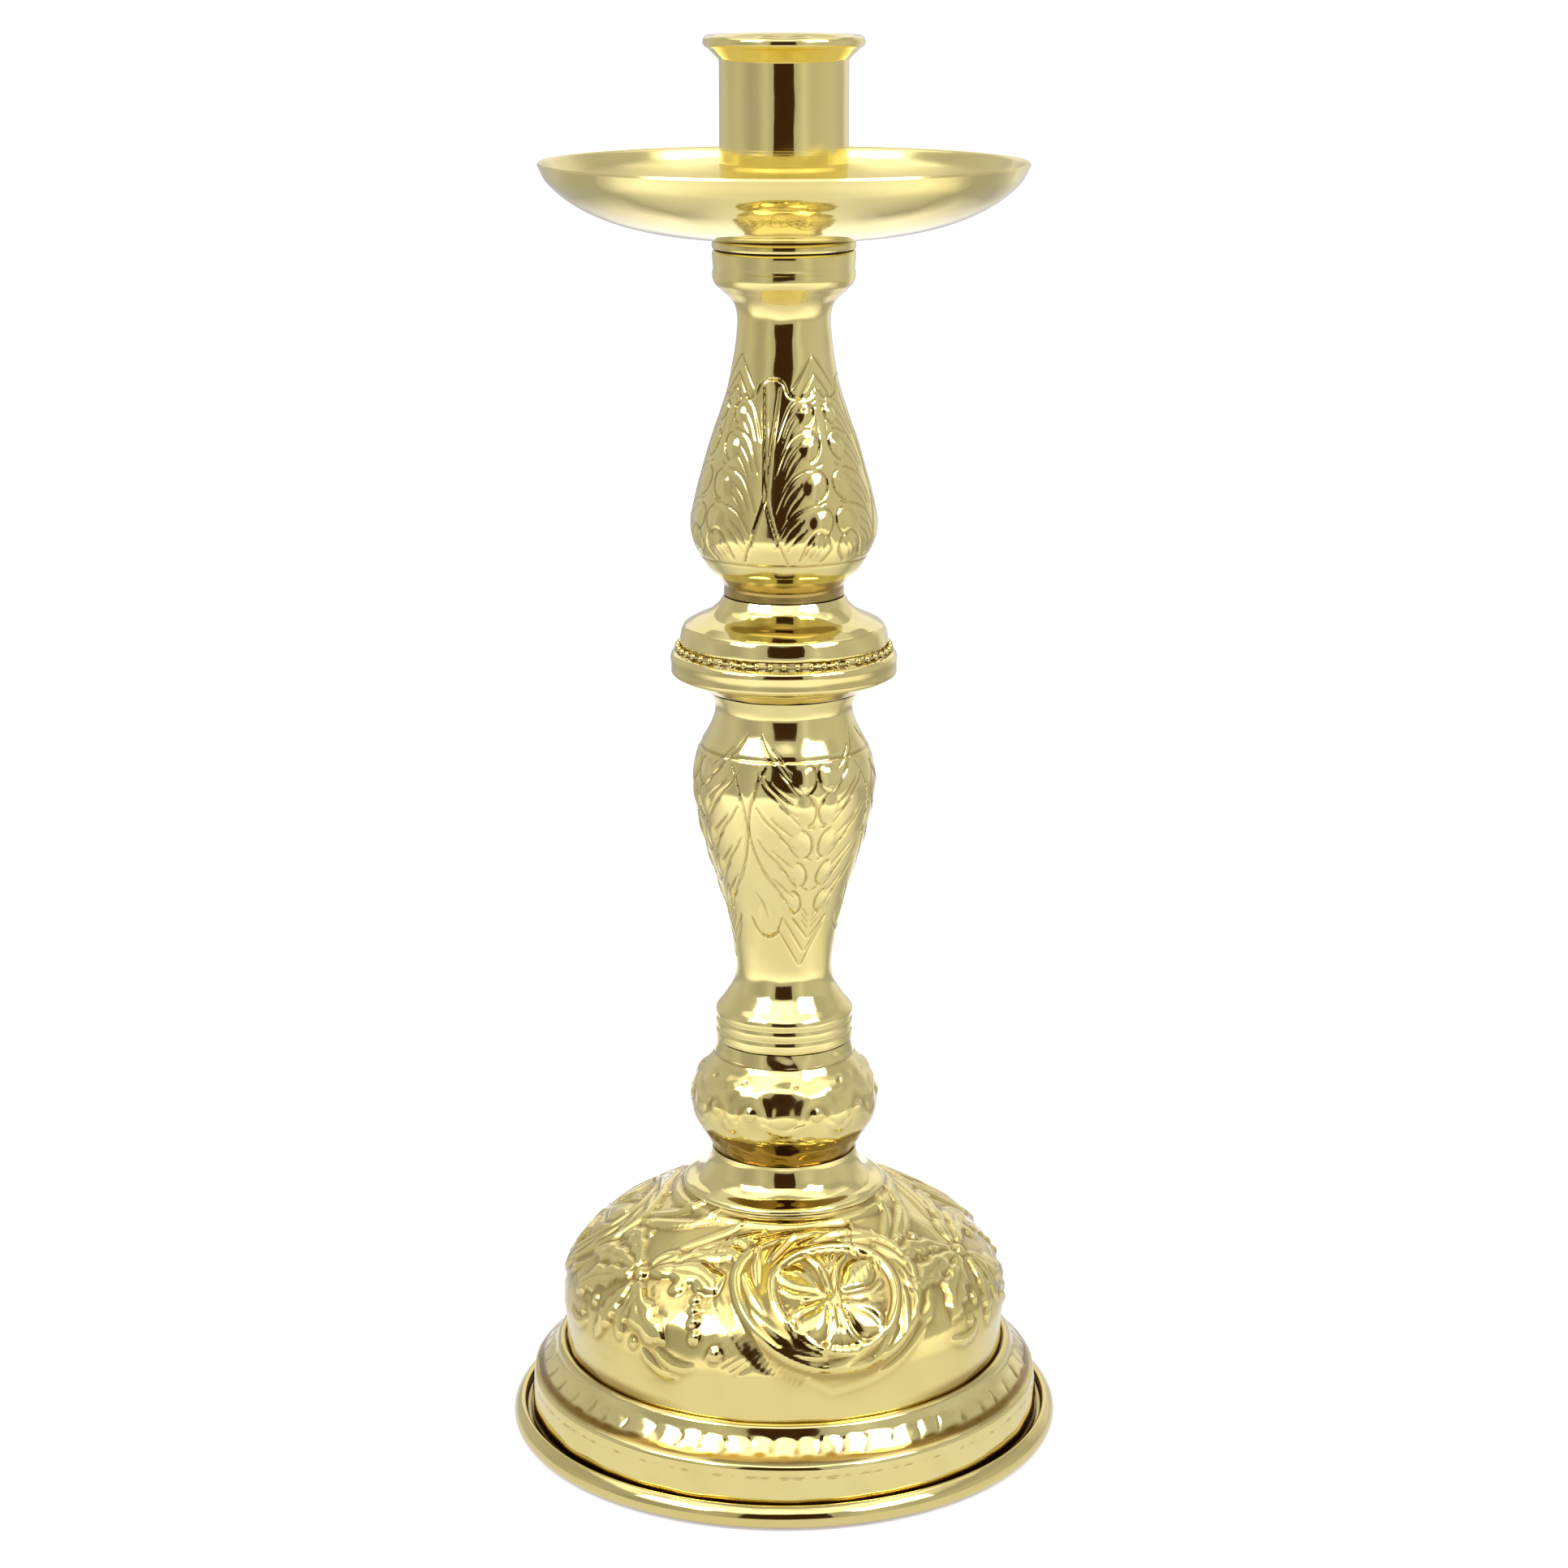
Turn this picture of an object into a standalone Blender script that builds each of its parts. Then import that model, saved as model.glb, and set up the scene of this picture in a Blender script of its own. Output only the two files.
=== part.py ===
"""Altar candlestick, 300 mm tall: brass shells stacked on one threaded tie rod.

The foot plate, plinth, dome, collars and balusters are thin spun or stamped shells. A steel rod runs
through all of them, from a nut in a hollow under the foot plate to a nut hidden in the top collar. The
candle socket screws on to the rod's upper end. Its bush passes through the drip pan and holds the pan
captive, so the pan rises as the socket is unscrewed.

The origin is on the axis at the underside of the felt, +Z is up. Outlines are (radius, height) pairs in
millimetres, heights counted from the underside of their own piece.
"""

import math

import bmesh
import bpy

MM = 0.001

# Driving dimensions, in millimetres.
GAP = 0.3  # clearance between stacked or nested pieces
WALL = 1.1  # sheet thickness of the shells
ROD_R = 4.0
ROD_HOLE_R = 4.6
FOOT_R = 60.0
PLINTH_R = 56.8
DOME_R = 48.6
PAN_R = 50.2
SOCKET_R = 13.2
CANDLE_BORE_R = 11.6
LIP_R = 16.5

# Heights of the stacked pieces, in millimetres, from the felt up.
FELT_H = 1.5
PLATE_T = 1.2
PLINTH_H = 15.2
DOME_H = 36.0
NECK_H = 6.3
KNOP_H = 26.3
LOWER_H = 76.7
FLANGE_H = 8.0
BEAD_D = 2.1
DRUM_H = 9.4
UPPER_H = 71.5
PAN_SEAM = 0.7
BOSS_H = 1.6
PAN_T = 1.0
SOCKET_H = 38.9

# Levels of each piece's underside, worked out from the stack.
PLATE_Z = FELT_H + GAP
PLINTH_Z = PLATE_Z + PLATE_T + GAP
DOME_Z = PLINTH_Z + PLINTH_H + GAP
NECK_Z = DOME_Z + DOME_H + GAP
KNOP_Z = NECK_Z + NECK_H + GAP
LOWER_Z = KNOP_Z + KNOP_H + GAP
FLANGE_Z = LOWER_Z + LOWER_H + GAP
BEAD_Z = FLANGE_Z + FLANGE_H + GAP
DRUM_Z = BEAD_Z + BEAD_D + GAP
UPPER_Z = DRUM_Z + DRUM_H + GAP
BOSS_Z = UPPER_Z + UPPER_H + PAN_SEAM
PAN_Z = BOSS_Z + BOSS_H + GAP
SOCKET_Z = PAN_Z + PAN_T + GAP

# Hardware on the rod.
HOLLOW_R = 14.0  # the hollow in the foot plate that hides the bottom nut
HOLLOW_Z = 11.0
NUT_CORNER_R = 7.5
NUT_H = 6.5
THIN_NUT_H = 3.2
WASHER_R = 9.0
WASHER_T = 1.6
NUT_BORE_R = ROD_R + GAP
RECESS_DEPTH = 5.3  # the nut recess in the top collar
COLLAR_R = 14.8
BUSH_SHANK_R = 7.0
BUSH_THREAD_R = 4.12  # its flats clear the rod's corners by 0.07 mm
SEAT_T = 2.0
SEAT_R = CANDLE_BORE_R - 0.4
SOCKET_FLOOR_Z = 7.1  # above the socket's foot
SOCKET_FLOOR_T = 1.5
SPIGOT_H = 1.8
BEADS = 50
BEAD_STEPS = 2  # one ring of points at each bead's middle and one between two beads
BEAD_SECTION = 5
BEAD_RING_R = 22.4
BEAD_WAIST = 0.6  # thickness between two beads, as a share of a bead's

WIDE_SEGMENTS = 28
STEM_SEGMENTS = 20
SHARP_ANGLE = math.radians(40)


def clear_scene():
    for obj in list(bpy.data.objects):
        bpy.data.objects.remove(obj)


def material(name, color, roughness, metallic):
    """A Principled BSDF material with one colour."""
    made = bpy.data.materials.new(name)
    made.use_nodes = True
    shader = made.node_tree.nodes["Principled BSDF"]
    shader.inputs["Base Color"].default_value = (*color, 1.0)
    shader.inputs["Roughness"].default_value = roughness
    shader.inputs["Metallic"].default_value = metallic
    return made


def curve(points, steps=2):
    """Smooth curve through the points, as cubic stretches with that many steps each. A point's tangent
    runs between its two neighbours, by the length along the chords."""
    knots = [0.0]
    for here, there in zip(points, points[1:]):
        knots.append(knots[-1] + math.dist(here, there))

    def tangent(i):
        low, high = max(i - 1, 0), min(i + 1, len(points) - 1)
        run = knots[high] - knots[low]
        return [(b - a) / run for a, b in zip(points[low], points[high])]

    made = []
    for i in range(len(points) - 1):
        span = knots[i + 1] - knots[i]
        ends = list(zip(points[i], points[i + 1], tangent(i), tangent(i + 1)))
        for k in range(steps):
            t = k / steps
            rise = t * t * (3 - 2 * t)
            leave = t * (1 - t) ** 2 * span
            arrive = t * t * (t - 1) * span
            made.append(tuple(a + (b - a) * rise + m * leave + n * arrive for a, b, m, n in ends))
    made.append(tuple(points[-1]))
    return made


def radius_at(outline, height):
    """Radius of an outline that only goes up, by straight lines between its points."""
    for (r0, z0), (r1, z1) in zip(outline, outline[1:]):
        if z0 <= height <= z1 and z1 > z0:
            return r0 + (r1 - r0) * (height - z0) / (z1 - z0)
    return outline[-1][0] if height > outline[-1][1] else outline[0][0]


def moved_in(outline, distance):
    """The outline moved inwards along its normals."""
    moved = []
    for i, (r, z) in enumerate(outline):
        r0, z0 = outline[max(i - 1, 0)]
        r1, z1 = outline[min(i + 1, len(outline) - 1)]
        length = math.hypot(r1 - r0, z1 - z0)
        moved.append((r - (z1 - z0) / length * distance, z + (r1 - r0) / length * distance))
    return moved


def shell(outline, bottom_hole, top_hole, lining=None):
    """Closed section of a hollow shell, its ends turned in to two holes. The inner wall follows the
    lining, which is the outline itself unless that has grooves too fine to follow."""
    low_z, high_z = outline[0][1] + WALL, outline[-1][1] - WALL
    wall = moved_in(lining or outline, WALL)
    low_r, high_r = radius_at(wall, low_z), radius_at(wall, high_z)
    inner = [(low_r, low_z)] + [p for p in wall if low_z < p[1] < high_z] + [(high_r, high_z)]
    low, high = min(bottom_hole, low_r), min(top_hole, high_r)
    ends = [(high, outline[-1][1]), (high, high_z)]
    return [(low, outline[0][1])] + list(outline) + ends + inner[::-1] + [(low, low_z)]


def thickened(outline, thickness):
    """Closed section of an open sheet."""
    return list(outline) + moved_in(outline, thickness)[::-1]


def add_object(name, mesh, finish):
    obj = bpy.data.objects.new(name, mesh)
    bpy.context.scene.collection.objects.link(obj)
    obj.data.materials.append(finish)
    return obj


def finish_mesh(bm, name):
    bmesh.ops.remove_doubles(bm, verts=bm.verts, dist=1e-7)
    bmesh.ops.recalc_face_normals(bm, faces=bm.faces)
    mesh = bpy.data.meshes.new(name)
    bm.to_mesh(mesh)
    bm.free()
    mesh.shade_smooth()
    mesh.set_sharp_from_angle(angle=SHARP_ANGLE)
    return mesh


def turned(name, section, base, finish, segments=STEM_SEGMENTS):
    """One piece turned about the Z axis from a section, its heights counted from base."""
    points = [section[0]]
    for point in section[1:]:
        if math.dist(point, points[-1]) > 0.01 and math.dist(point, section[0]) > 0.01:
            points.append(point)
    bm = bmesh.new()
    verts = [bm.verts.new((r * MM, 0, (base + z) * MM)) for r, z in points]
    edges = []
    for a, b in zip(verts, verts[1:] + verts[:1]):
        on_axis = abs(a.co.x) + abs(b.co.x) < 1e-9
        if not on_axis:
            edges.append(bm.edges.new((a, b)))
    bmesh.ops.spin(
        bm,
        geom=verts + edges,
        cent=(0, 0, 0),
        axis=(0, 0, 1),
        angle=math.tau,
        steps=segments,
        use_merge=True,
    )
    return add_object(name, finish_mesh(bm, name), finish)


def disc(name, inner_r, outer_r, base, height, finish, segments=STEM_SEGMENTS):
    section = [(inner_r, 0), (outer_r, 0), (outer_r, height), (inner_r, height)]
    return turned(name, section, base, finish, segments)


def bore_cutter():
    """The threaded hole of both nuts, as one long cylinder on the axis."""
    bm = bmesh.new()
    bmesh.ops.create_cone(
        bm,
        cap_ends=True,
        segments=STEM_SEGMENTS,
        radius1=NUT_BORE_R * MM,
        radius2=NUT_BORE_R * MM,
        depth=2 * SOCKET_Z * MM,
    )
    mesh = bpy.data.meshes.new("nut_bore_cutter")
    bm.to_mesh(mesh)
    bm.free()
    obj = bpy.data.objects.new("nut_bore_cutter", mesh)
    bpy.context.scene.collection.objects.link(obj)
    obj.hide_render = True
    obj.display_type = "WIRE"
    return obj


def hex_nut(name, base, height, finish, cutter):
    bm = bmesh.new()
    bmesh.ops.create_cone(
        bm,
        cap_ends=True,
        segments=6,
        radius1=NUT_CORNER_R * MM,
        radius2=NUT_CORNER_R * MM,
        depth=height * MM,
    )
    bmesh.ops.translate(bm, verts=bm.verts, vec=(0, 0, (base + height / 2) * MM))
    mesh = bpy.data.meshes.new(name)
    bm.to_mesh(mesh)
    bm.free()
    nut = add_object(name, mesh, finish)
    bore = nut.modifiers.new("threaded_bore", "BOOLEAN")
    bore.operation = "DIFFERENCE"
    bore.object = cutter
    return nut


def centring_disc(name, spigot_r, flange_r, seam, finish):
    """A stepped washer at a joint: its spigot drops into the lower shell's turned-in end and its flange
    lies in the larger opening of the shell above, so both shells stay on the rod's axis."""
    section = [
        (ROD_HOLE_R, -SPIGOT_H),
        (spigot_r, -SPIGOT_H),
        (spigot_r, 0),
        (flange_r, 0),
        (flange_r, WALL),
        (ROD_HOLE_R, WALL),
    ]
    return turned(name, section, seam, finish)


def felt_pad(felt):
    disc("felt_pad", 0.0, FOOT_R - 6.0, 0.0, FELT_H, felt, WIDE_SEGMENTS)


def foot_plate(brass):
    """A dish with a rolled rim. Its middle is pressed up into a hollow for the bottom nut."""
    lift = HOLLOW_Z - PLATE_Z
    rim_top = 3.4
    under = [(ROD_HOLE_R, lift), (HOLLOW_R - 1.0, lift), (HOLLOW_R, 0), (FOOT_R - 5.5, 0)]
    roll = [
        (FOOT_R - 3.4, -1.4),
        (FOOT_R - 1.0, -1.4),
        (FOOT_R, 0.4),
        (FOOT_R - 0.2, rim_top - 0.9),
        (FOOT_R - 1.3, rim_top),
        (FOOT_R - 2.4, rim_top - 0.5),
    ]
    over = [
        (FOOT_R - 2.6, PLATE_T),
        (HOLLOW_R + 1.4, PLATE_T),
        (HOLLOW_R + 0.2, lift + PLATE_T),
        (ROD_HOLE_R, lift + PLATE_T),
    ]
    turned("foot_plate", under + roll + over, PLATE_Z, brass, WIDE_SEGMENTS)


def base_weight(iron):
    """Cast-iron ring inside the plinth that keeps the stick upright."""
    height, hollow_top = 10.5, HOLLOW_Z + PLATE_T + GAP - PLINTH_Z
    section = [
        (HOLLOW_R + 2.0, 0),
        (PLINTH_R - 6.8, 0),
        (PLINTH_R - 6.8, height / 2),
        (PLINTH_R - 10.8, height),
        (ROD_HOLE_R, height),
        (ROD_HOLE_R, hollow_top),
        (HOLLOW_R + 0.8, hollow_top),
    ]
    turned("base_weight", section, PLINTH_Z, iron, WIDE_SEGMENTS)


def plinth(brass):
    """A leaning wall, a fine ridge and the sloping band that carries the rope pattern."""
    wall = [(PLINTH_R, 0), (PLINTH_R - 0.9, 4.2), (PLINTH_R - 1.9, 8.4), (PLINTH_R - 1.8, 9.0)]
    band = [(PLINTH_R - 3.0, 9.7), (PLINTH_R - 4.6, 12.2), (PLINTH_R - 6.2, 14.8), (PLINTH_R - 6.8, PLINTH_H)]
    turned("plinth", shell(wall + band, PLINTH_R - WALL, 44.0), PLINTH_Z, brass, WIDE_SEGMENTS)


def dome(brass):
    """The bell of the foot: a cove, a full waist and a rounded crown with a flat seat on top."""
    cove = [(DOME_R + 0.7, 0), (DOME_R - 1.6, 1.2), (DOME_R - 2.4, 2.7), (DOME_R - 1.6, 4.2)]
    bell = curve(
        [
            (DOME_R - 0.5, 6.0),
            (DOME_R - 0.1, 11.0),
            (46.7, 17.8),
            (42.0, 23.2),
            (34.7, 28.1),
            (25.3, 33.2),
            (21.6, DOME_H),
        ]
    )
    turned("dome", shell(cove + bell, DOME_R, ROD_HOLE_R), DOME_Z, brass, WIDE_SEGMENTS)


def neck_collar(brass):
    outline = curve([(21.0, 0), (18.5, 2.0), (16.7, 4.2), (16.1, NECK_H)], 1)
    turned("neck_collar", shell(outline, 14.0, 9.0), NECK_Z, brass)


def knop(brass):
    outline = curve(
        [(15.9, 0), (16.4, 3.2), (19.6, 8.8), (20.3, 13.4), (19.0, 18.4), (15.3, 23.0), (14.45, KNOP_H)]
    )
    turned("knop", shell(outline, 11.0, 9.0), KNOP_Z, brass)


def lower_baluster(brass):
    """A grooved collar, a slim waist, a full upper belly and a small flared lip."""
    collar = [
        (COLLAR_R, 0.2),
        (COLLAR_R, 2.2),
        (COLLAR_R - 0.4, 2.6),
        (COLLAR_R, 3.0),
        (COLLAR_R, 4.6),
        (COLLAR_R - 0.4, 5.0),
        (COLLAR_R, 5.4),
        (COLLAR_R, 7.0),
    ]
    body = curve(
        [
            (13.2, 8.7),
            (10.9, 12.5),
            (10.5, 17.5),
            (12.3, 28.5),
            (17.7, 46.4),
            (19.5, 57.2),
            (18.4, 63.5),
            (15.1, 70.4),
            (14.6, 73.6),
            (15.9, LOWER_H),
        ]
    )
    outline = [(COLLAR_R - 0.2, 0)] + collar + body
    lining = [(COLLAR_R - 0.4, 0), (COLLAR_R - 0.4, 7.0)] + body
    turned("lower_baluster", shell(outline, 11.0, 9.0, lining), LOWER_Z, brass)


def flange(brass):
    """The broad disc at mid height, with a small lip below it and a flat top for the beads."""
    outline = [
        (15.6, 0),
        (17.6, 0.6),
        (19.3, 1.9),
        (22.6, 2.8),
        (23.9, 3.7),
        (24.0, 7.2),
        (23.6, FLANGE_H),
    ]
    turned("flange", shell(outline, 11.0, 15.0), FLANGE_Z, brass)


def bead_ring(brass):
    """A ring of half-merged beads, as one bumpy torus."""
    around = BEADS * BEAD_STEPS
    verts = []
    for i in range(around):
        thick = BEAD_D / 2 * (1.0 if i % BEAD_STEPS == 0 else BEAD_WAIST)
        angle = math.tau * i / around
        for k in range(BEAD_SECTION):
            turn = math.tau * (k + 0.5) / BEAD_SECTION
            r = BEAD_RING_R + thick * math.cos(turn)
            z = BEAD_Z + BEAD_D / 2 + thick * math.sin(turn)
            verts.append((r * math.cos(angle) * MM, r * math.sin(angle) * MM, z * MM))
    bm = bmesh.new()
    made = [bm.verts.new(v) for v in verts]
    for i in range(around):
        for k in range(BEAD_SECTION):
            here, there = i * BEAD_SECTION, (i + 1) % around * BEAD_SECTION
            up = (k + 1) % BEAD_SECTION
            bm.faces.new((made[here + k], made[there + k], made[there + up], made[here + up]))
    add_object("bead_ring", finish_mesh(bm, "bead_ring"), brass)


def drum_cap(brass):
    """The drum over the beads: an upright edge, a rounded shoulder and a concave cushion."""
    edge = [(21.7, 0), (21.9, 0.5), (21.6, 2.0)]
    cushion = curve([(20.6, 3.4), (16.3, 5.5), (12.7, DRUM_H)])
    turned("drum_cap", shell(edge + cushion, 19.0, 7.5), DRUM_Z, brass)


def upper_baluster(brass):
    """A pear with a slender neck and a collar whose open top hides the stem nut."""
    body = curve(
        [
            (12.6, 0),
            (12.8, 2.3),
            (16.3, 6.2),
            (19.3, 12.4),
            (19.3, 17.4),
            (16.0, 30.3),
            (11.7, 43.5),
            (9.65, 56.3),
            (10.4, 60.6),
            (13.0, 63.4),
        ]
    )
    collar = [
        (14.5, 64.9),
        (COLLAR_R, 66.0),
        (COLLAR_R - 0.2, 67.0),
        (COLLAR_R - 0.9, 67.4),
        (COLLAR_R - 0.2, 67.8),
        (COLLAR_R, 68.4),
        (COLLAR_R - 0.1, UPPER_H),
    ]
    shelf = UPPER_H - RECESS_DEPTH
    stem = shell(body + [(COLLAR_R, shelf)], 9.5, ROD_HOLE_R)
    inside = stem[stem.index((ROD_HOLE_R, shelf)) :]
    recess = [(COLLAR_R - 0.9 - WALL, UPPER_H), (COLLAR_R - 0.9 - WALL, shelf)]
    turned("upper_baluster", [stem[0]] + body + collar + recess + inside, UPPER_Z, brass)


def pan_boss(brass):
    """The ring under the pan, fixed on the socket bush."""
    disc("pan_boss", BUSH_SHANK_R + GAP, COLLAR_R, BOSS_Z, BOSS_H, brass)


def drip_pan(brass):
    """A shallow spun bowl with a flat middle."""
    flat = [(BUSH_SHANK_R + 2 * GAP, 0), (17.0, 0)]
    bowl = curve([(27.4, 1.2), (36.5, 3.6), (43.6, 7.1), (48.4, 11.2), (PAN_R, 14.6)])
    turned("drip_pan", thickened(flat + bowl, PAN_T), PAN_Z, brass, WIDE_SEGMENTS)


def candle_socket(brass):
    """The cup for the candle: a tube with a flared, rolled lip and a floor fixed to the bush."""
    step_z, flare_z = 12.8, 33.7
    outer = [
        (SOCKET_R - 0.15, 0),
        (SOCKET_R - 0.15, step_z),
        (SOCKET_R, step_z + 0.2),
        (SOCKET_R, flare_z),
        (LIP_R - 1.0, flare_z + 2.6),
    ]
    lip = curve([(LIP_R - 0.15, 36.9), (LIP_R, 37.7), (LIP_R - 0.3, 38.5), (LIP_R - 0.9, SOCKET_H)])
    floor_top = SOCKET_FLOOR_Z + SOCKET_FLOOR_T
    inner = [
        (CANDLE_BORE_R + 2.2, SOCKET_H),
        (CANDLE_BORE_R, flare_z + 1.4),
        (CANDLE_BORE_R, floor_top),
        (BUSH_SHANK_R + GAP, floor_top),
        (BUSH_SHANK_R + GAP, SOCKET_FLOOR_Z),
        (CANDLE_BORE_R, SOCKET_FLOOR_Z),
        (CANDLE_BORE_R, 0),
    ]
    turned("candle_socket", outer + lip + inner, SOCKET_Z, brass)


def socket_bush(brass):
    """The threaded bush: its top is the candle's seat, its shank holds the socket and the pan."""
    seat_under = SOCKET_Z + SOCKET_FLOOR_Z + SOCKET_FLOOR_T + GAP
    seat_top = seat_under + SEAT_T
    foot = BOSS_Z + GAP
    bore_top = seat_under - 0.4
    section = [
        (0, seat_top),
        (SEAT_R, seat_top),
        (SEAT_R, seat_under),
        (BUSH_SHANK_R, seat_under),
        (BUSH_SHANK_R, foot),
        (BUSH_THREAD_R, foot),
        (BUSH_THREAD_R, bore_top),
        (0, bore_top),
    ]
    turned("socket_bush", section, 0.0, brass)
    return bore_top


def tie_rod(steel, top):
    """The steel rod through the whole stick, with small chamfers at both ends."""
    bottom, chamfer = FELT_H + 2 * GAP, 0.6
    section = [
        (0, bottom),
        (ROD_R - chamfer, bottom),
        (ROD_R, bottom + chamfer),
        (ROD_R, top - chamfer),
        (ROD_R - chamfer, top),
        (0, top),
    ]
    turned("tie_rod", section, 0.0, steel)


def fasteners(steel):
    """Washer and nut in the foot's hollow, washer and thin nut in the top collar."""
    cutter = bore_cutter()
    washer_z = HOLLOW_Z - GAP - WASHER_T
    disc("bottom_washer", ROD_HOLE_R, WASHER_R, washer_z, WASHER_T, steel)
    hex_nut("bottom_nut", washer_z - GAP - NUT_H, NUT_H, steel, cutter)
    shelf = UPPER_Z + UPPER_H - RECESS_DEPTH
    disc("stem_washer", ROD_HOLE_R, WASHER_R, shelf + GAP, 1.0, steel)
    hex_nut("stem_nut", shelf + 1.0 + 2 * GAP, THIN_NUT_H, steel, cutter)


def centring_discs(steel):
    """The stepped washers at the four hidden joints of the stem."""
    joints = {
        "neck_disc": (8.7, 10.7, KNOP_Z),
        "knop_disc": (8.7, 10.7, LOWER_Z),
        "flange_disc": (8.7, 10.7, FLANGE_Z),
        "waist_disc": (7.2, 9.2, UPPER_Z),
    }
    for name, (spigot_r, flange_r, seam) in joints.items():
        centring_disc(name, spigot_r, flange_r, seam, steel)


def build():
    clear_scene()
    brass = material("polished_brass", (0.84, 0.68, 0.30), 0.12, 1.0)
    steel = material("zinc_steel", (0.62, 0.62, 0.60), 0.35, 1.0)
    iron = material("cast_iron", (0.09, 0.09, 0.09), 0.7, 0.6)
    felt = material("green_felt", (0.03, 0.12, 0.06), 0.95, 0.0)
    felt_pad(felt)
    foot_plate(brass)
    base_weight(iron)
    for make in (
        plinth,
        dome,
        neck_collar,
        knop,
        lower_baluster,
        flange,
        bead_ring,
        drum_cap,
        upper_baluster,
        pan_boss,
        drip_pan,
        candle_socket,
    ):
        make(brass)
    bore_top = socket_bush(brass)
    tie_rod(steel, bore_top - GAP)
    fasteners(steel)
    centring_discs(steel)


build()
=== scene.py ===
"""The looks of the altar candlestick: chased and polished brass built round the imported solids.

Every shell is turned again from a finer outline, and its relief is worked out as a height over the
surface: angle round the axis one way, length along the outline the other. Lengths are in millimetres
until a mesh is made. Angles count from the front (-Y), positive towards +X.
"""

import math

import bpy
import numpy as np
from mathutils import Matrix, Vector


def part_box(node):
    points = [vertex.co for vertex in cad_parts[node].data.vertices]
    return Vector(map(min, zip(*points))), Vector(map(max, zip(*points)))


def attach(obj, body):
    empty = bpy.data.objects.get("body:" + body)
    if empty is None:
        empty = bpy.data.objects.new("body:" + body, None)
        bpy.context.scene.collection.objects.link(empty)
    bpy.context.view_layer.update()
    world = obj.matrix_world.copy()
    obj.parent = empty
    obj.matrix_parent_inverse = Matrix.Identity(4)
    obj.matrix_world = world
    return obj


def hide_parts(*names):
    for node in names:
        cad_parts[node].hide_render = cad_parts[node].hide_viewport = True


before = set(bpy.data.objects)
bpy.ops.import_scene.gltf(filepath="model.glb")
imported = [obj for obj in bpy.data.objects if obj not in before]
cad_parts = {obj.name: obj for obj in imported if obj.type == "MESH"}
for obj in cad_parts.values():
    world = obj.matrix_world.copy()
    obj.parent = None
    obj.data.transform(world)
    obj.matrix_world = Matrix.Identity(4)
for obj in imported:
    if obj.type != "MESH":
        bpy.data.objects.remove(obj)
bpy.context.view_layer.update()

MM = 0.001
WALL = 1.0
SHARP = math.radians(50)


def base_of(node):
    """Height of a node's underside, in millimetres."""
    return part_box(node)[0].z / MM


# ---- outlines


def run_along(points):
    """Length along the polyline up to each of its points."""
    return np.r_[0, np.cumsum(np.hypot(*np.diff(points, axis=0).T))]


def curve(points, steps=14):
    """Smooth curve through (radius, height) points, as cubic stretches. A point's tangent runs between
    its two neighbours, by the length along the chords."""
    p = np.array(points, float)
    run = run_along(p)
    i = np.arange(len(p))
    low, high = np.maximum(i - 1, 0), np.minimum(i + 1, len(p) - 1)
    slope = (p[high] - p[low]) / (run[high] - run[low])[:, None]
    t = (np.arange(steps) / steps)[:, None]
    made = []
    for k, span in enumerate(np.diff(run)):
        rise = t * t * (3 - 2 * t) * (p[k + 1] - p[k])
        leave = t * (1 - t) ** 2 * span * slope[k]
        arrive = t * t * (t - 1) * span * slope[k + 1]
        made += [tuple(spot) for spot in p[k] + rise + leave + arrive]
    return made + [tuple(points[-1])]


def softened(points, radius):
    """The polyline with each inner corner rounded to about that radius."""
    made = [tuple(points[0])]
    for before, corner, after in zip(points, points[1:], points[2:]):
        a, b, c = Vector(before), Vector(corner), Vector(after)
        cut = min(radius, (a - b).length / 2, (c - b).length / 2)
        start = b + (a - b).normalized() * cut
        end = b + (c - b).normalized() * cut
        for t in np.linspace(0, 1, 6).tolist():
            made.append(tuple(start * (1 - t) ** 2 + b * 2 * t * (1 - t) + end * t * t))
    made.append(tuple(points[-1]))
    return made


def resampled(points, spacing):
    """The polyline with points at even steps along its length."""
    p = np.array(points, float)
    run = run_along(p)
    count = max(2, int(round(run[-1] / spacing)))
    at = np.linspace(0, run[-1], count + 1)
    return np.stack([np.interp(at, run, p[:, 0]), np.interp(at, run, p[:, 1])], 1), at


def normals_of(points):
    """Unit normals of an upward outline, pointing away from the axis."""
    step = np.gradient(points, axis=0)
    normal = np.stack([step[:, 1], -step[:, 0]], 1)
    return normal / np.maximum(np.linalg.norm(normal, axis=1), 1e-9)[:, None]


# ---- relief


def bump(x):
    """Smooth hump: 1 at 0, 0 from 1 on."""
    return np.clip(1 - x * x, 0, None) ** 2


def smooth(x):
    """Smooth step: 0 up to 0, 1 from 1 on."""
    x = np.clip(x, 0, 1)
    return x * x * (3 - 2 * x)


def spline(points, steps=8):
    """The smooth path through the points, or the straight one between two."""
    if len(points) > 2:
        return np.array(curve([tuple(p) for p in points], steps))
    return np.array(points, float)


def along(x, y, path):
    """Distance of each point to a path, and how far along it the nearest place is, from 0 to 1."""
    best = np.full(x.shape, 1e9)
    where = np.zeros(x.shape)
    lengths = np.hypot(*np.diff(path, axis=0).T)
    total = lengths.sum()
    passed = 0.0
    for (x0, y0), (x1, y1), length in zip(path, path[1:], lengths):
        if length < 1e-9:
            continue
        dx, dy = x1 - x0, y1 - y0
        t = np.clip(((x - x0) * dx + (y - y0) * dy) / length**2, 0, 1)
        d = np.hypot(x - x0 - t * dx, y - y0 - t * dy)
        closer = d < best
        best = np.where(closer, d, best)
        where = np.where(closer, (passed + t * length) / total, where)
        passed += length
    return best, where


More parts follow.
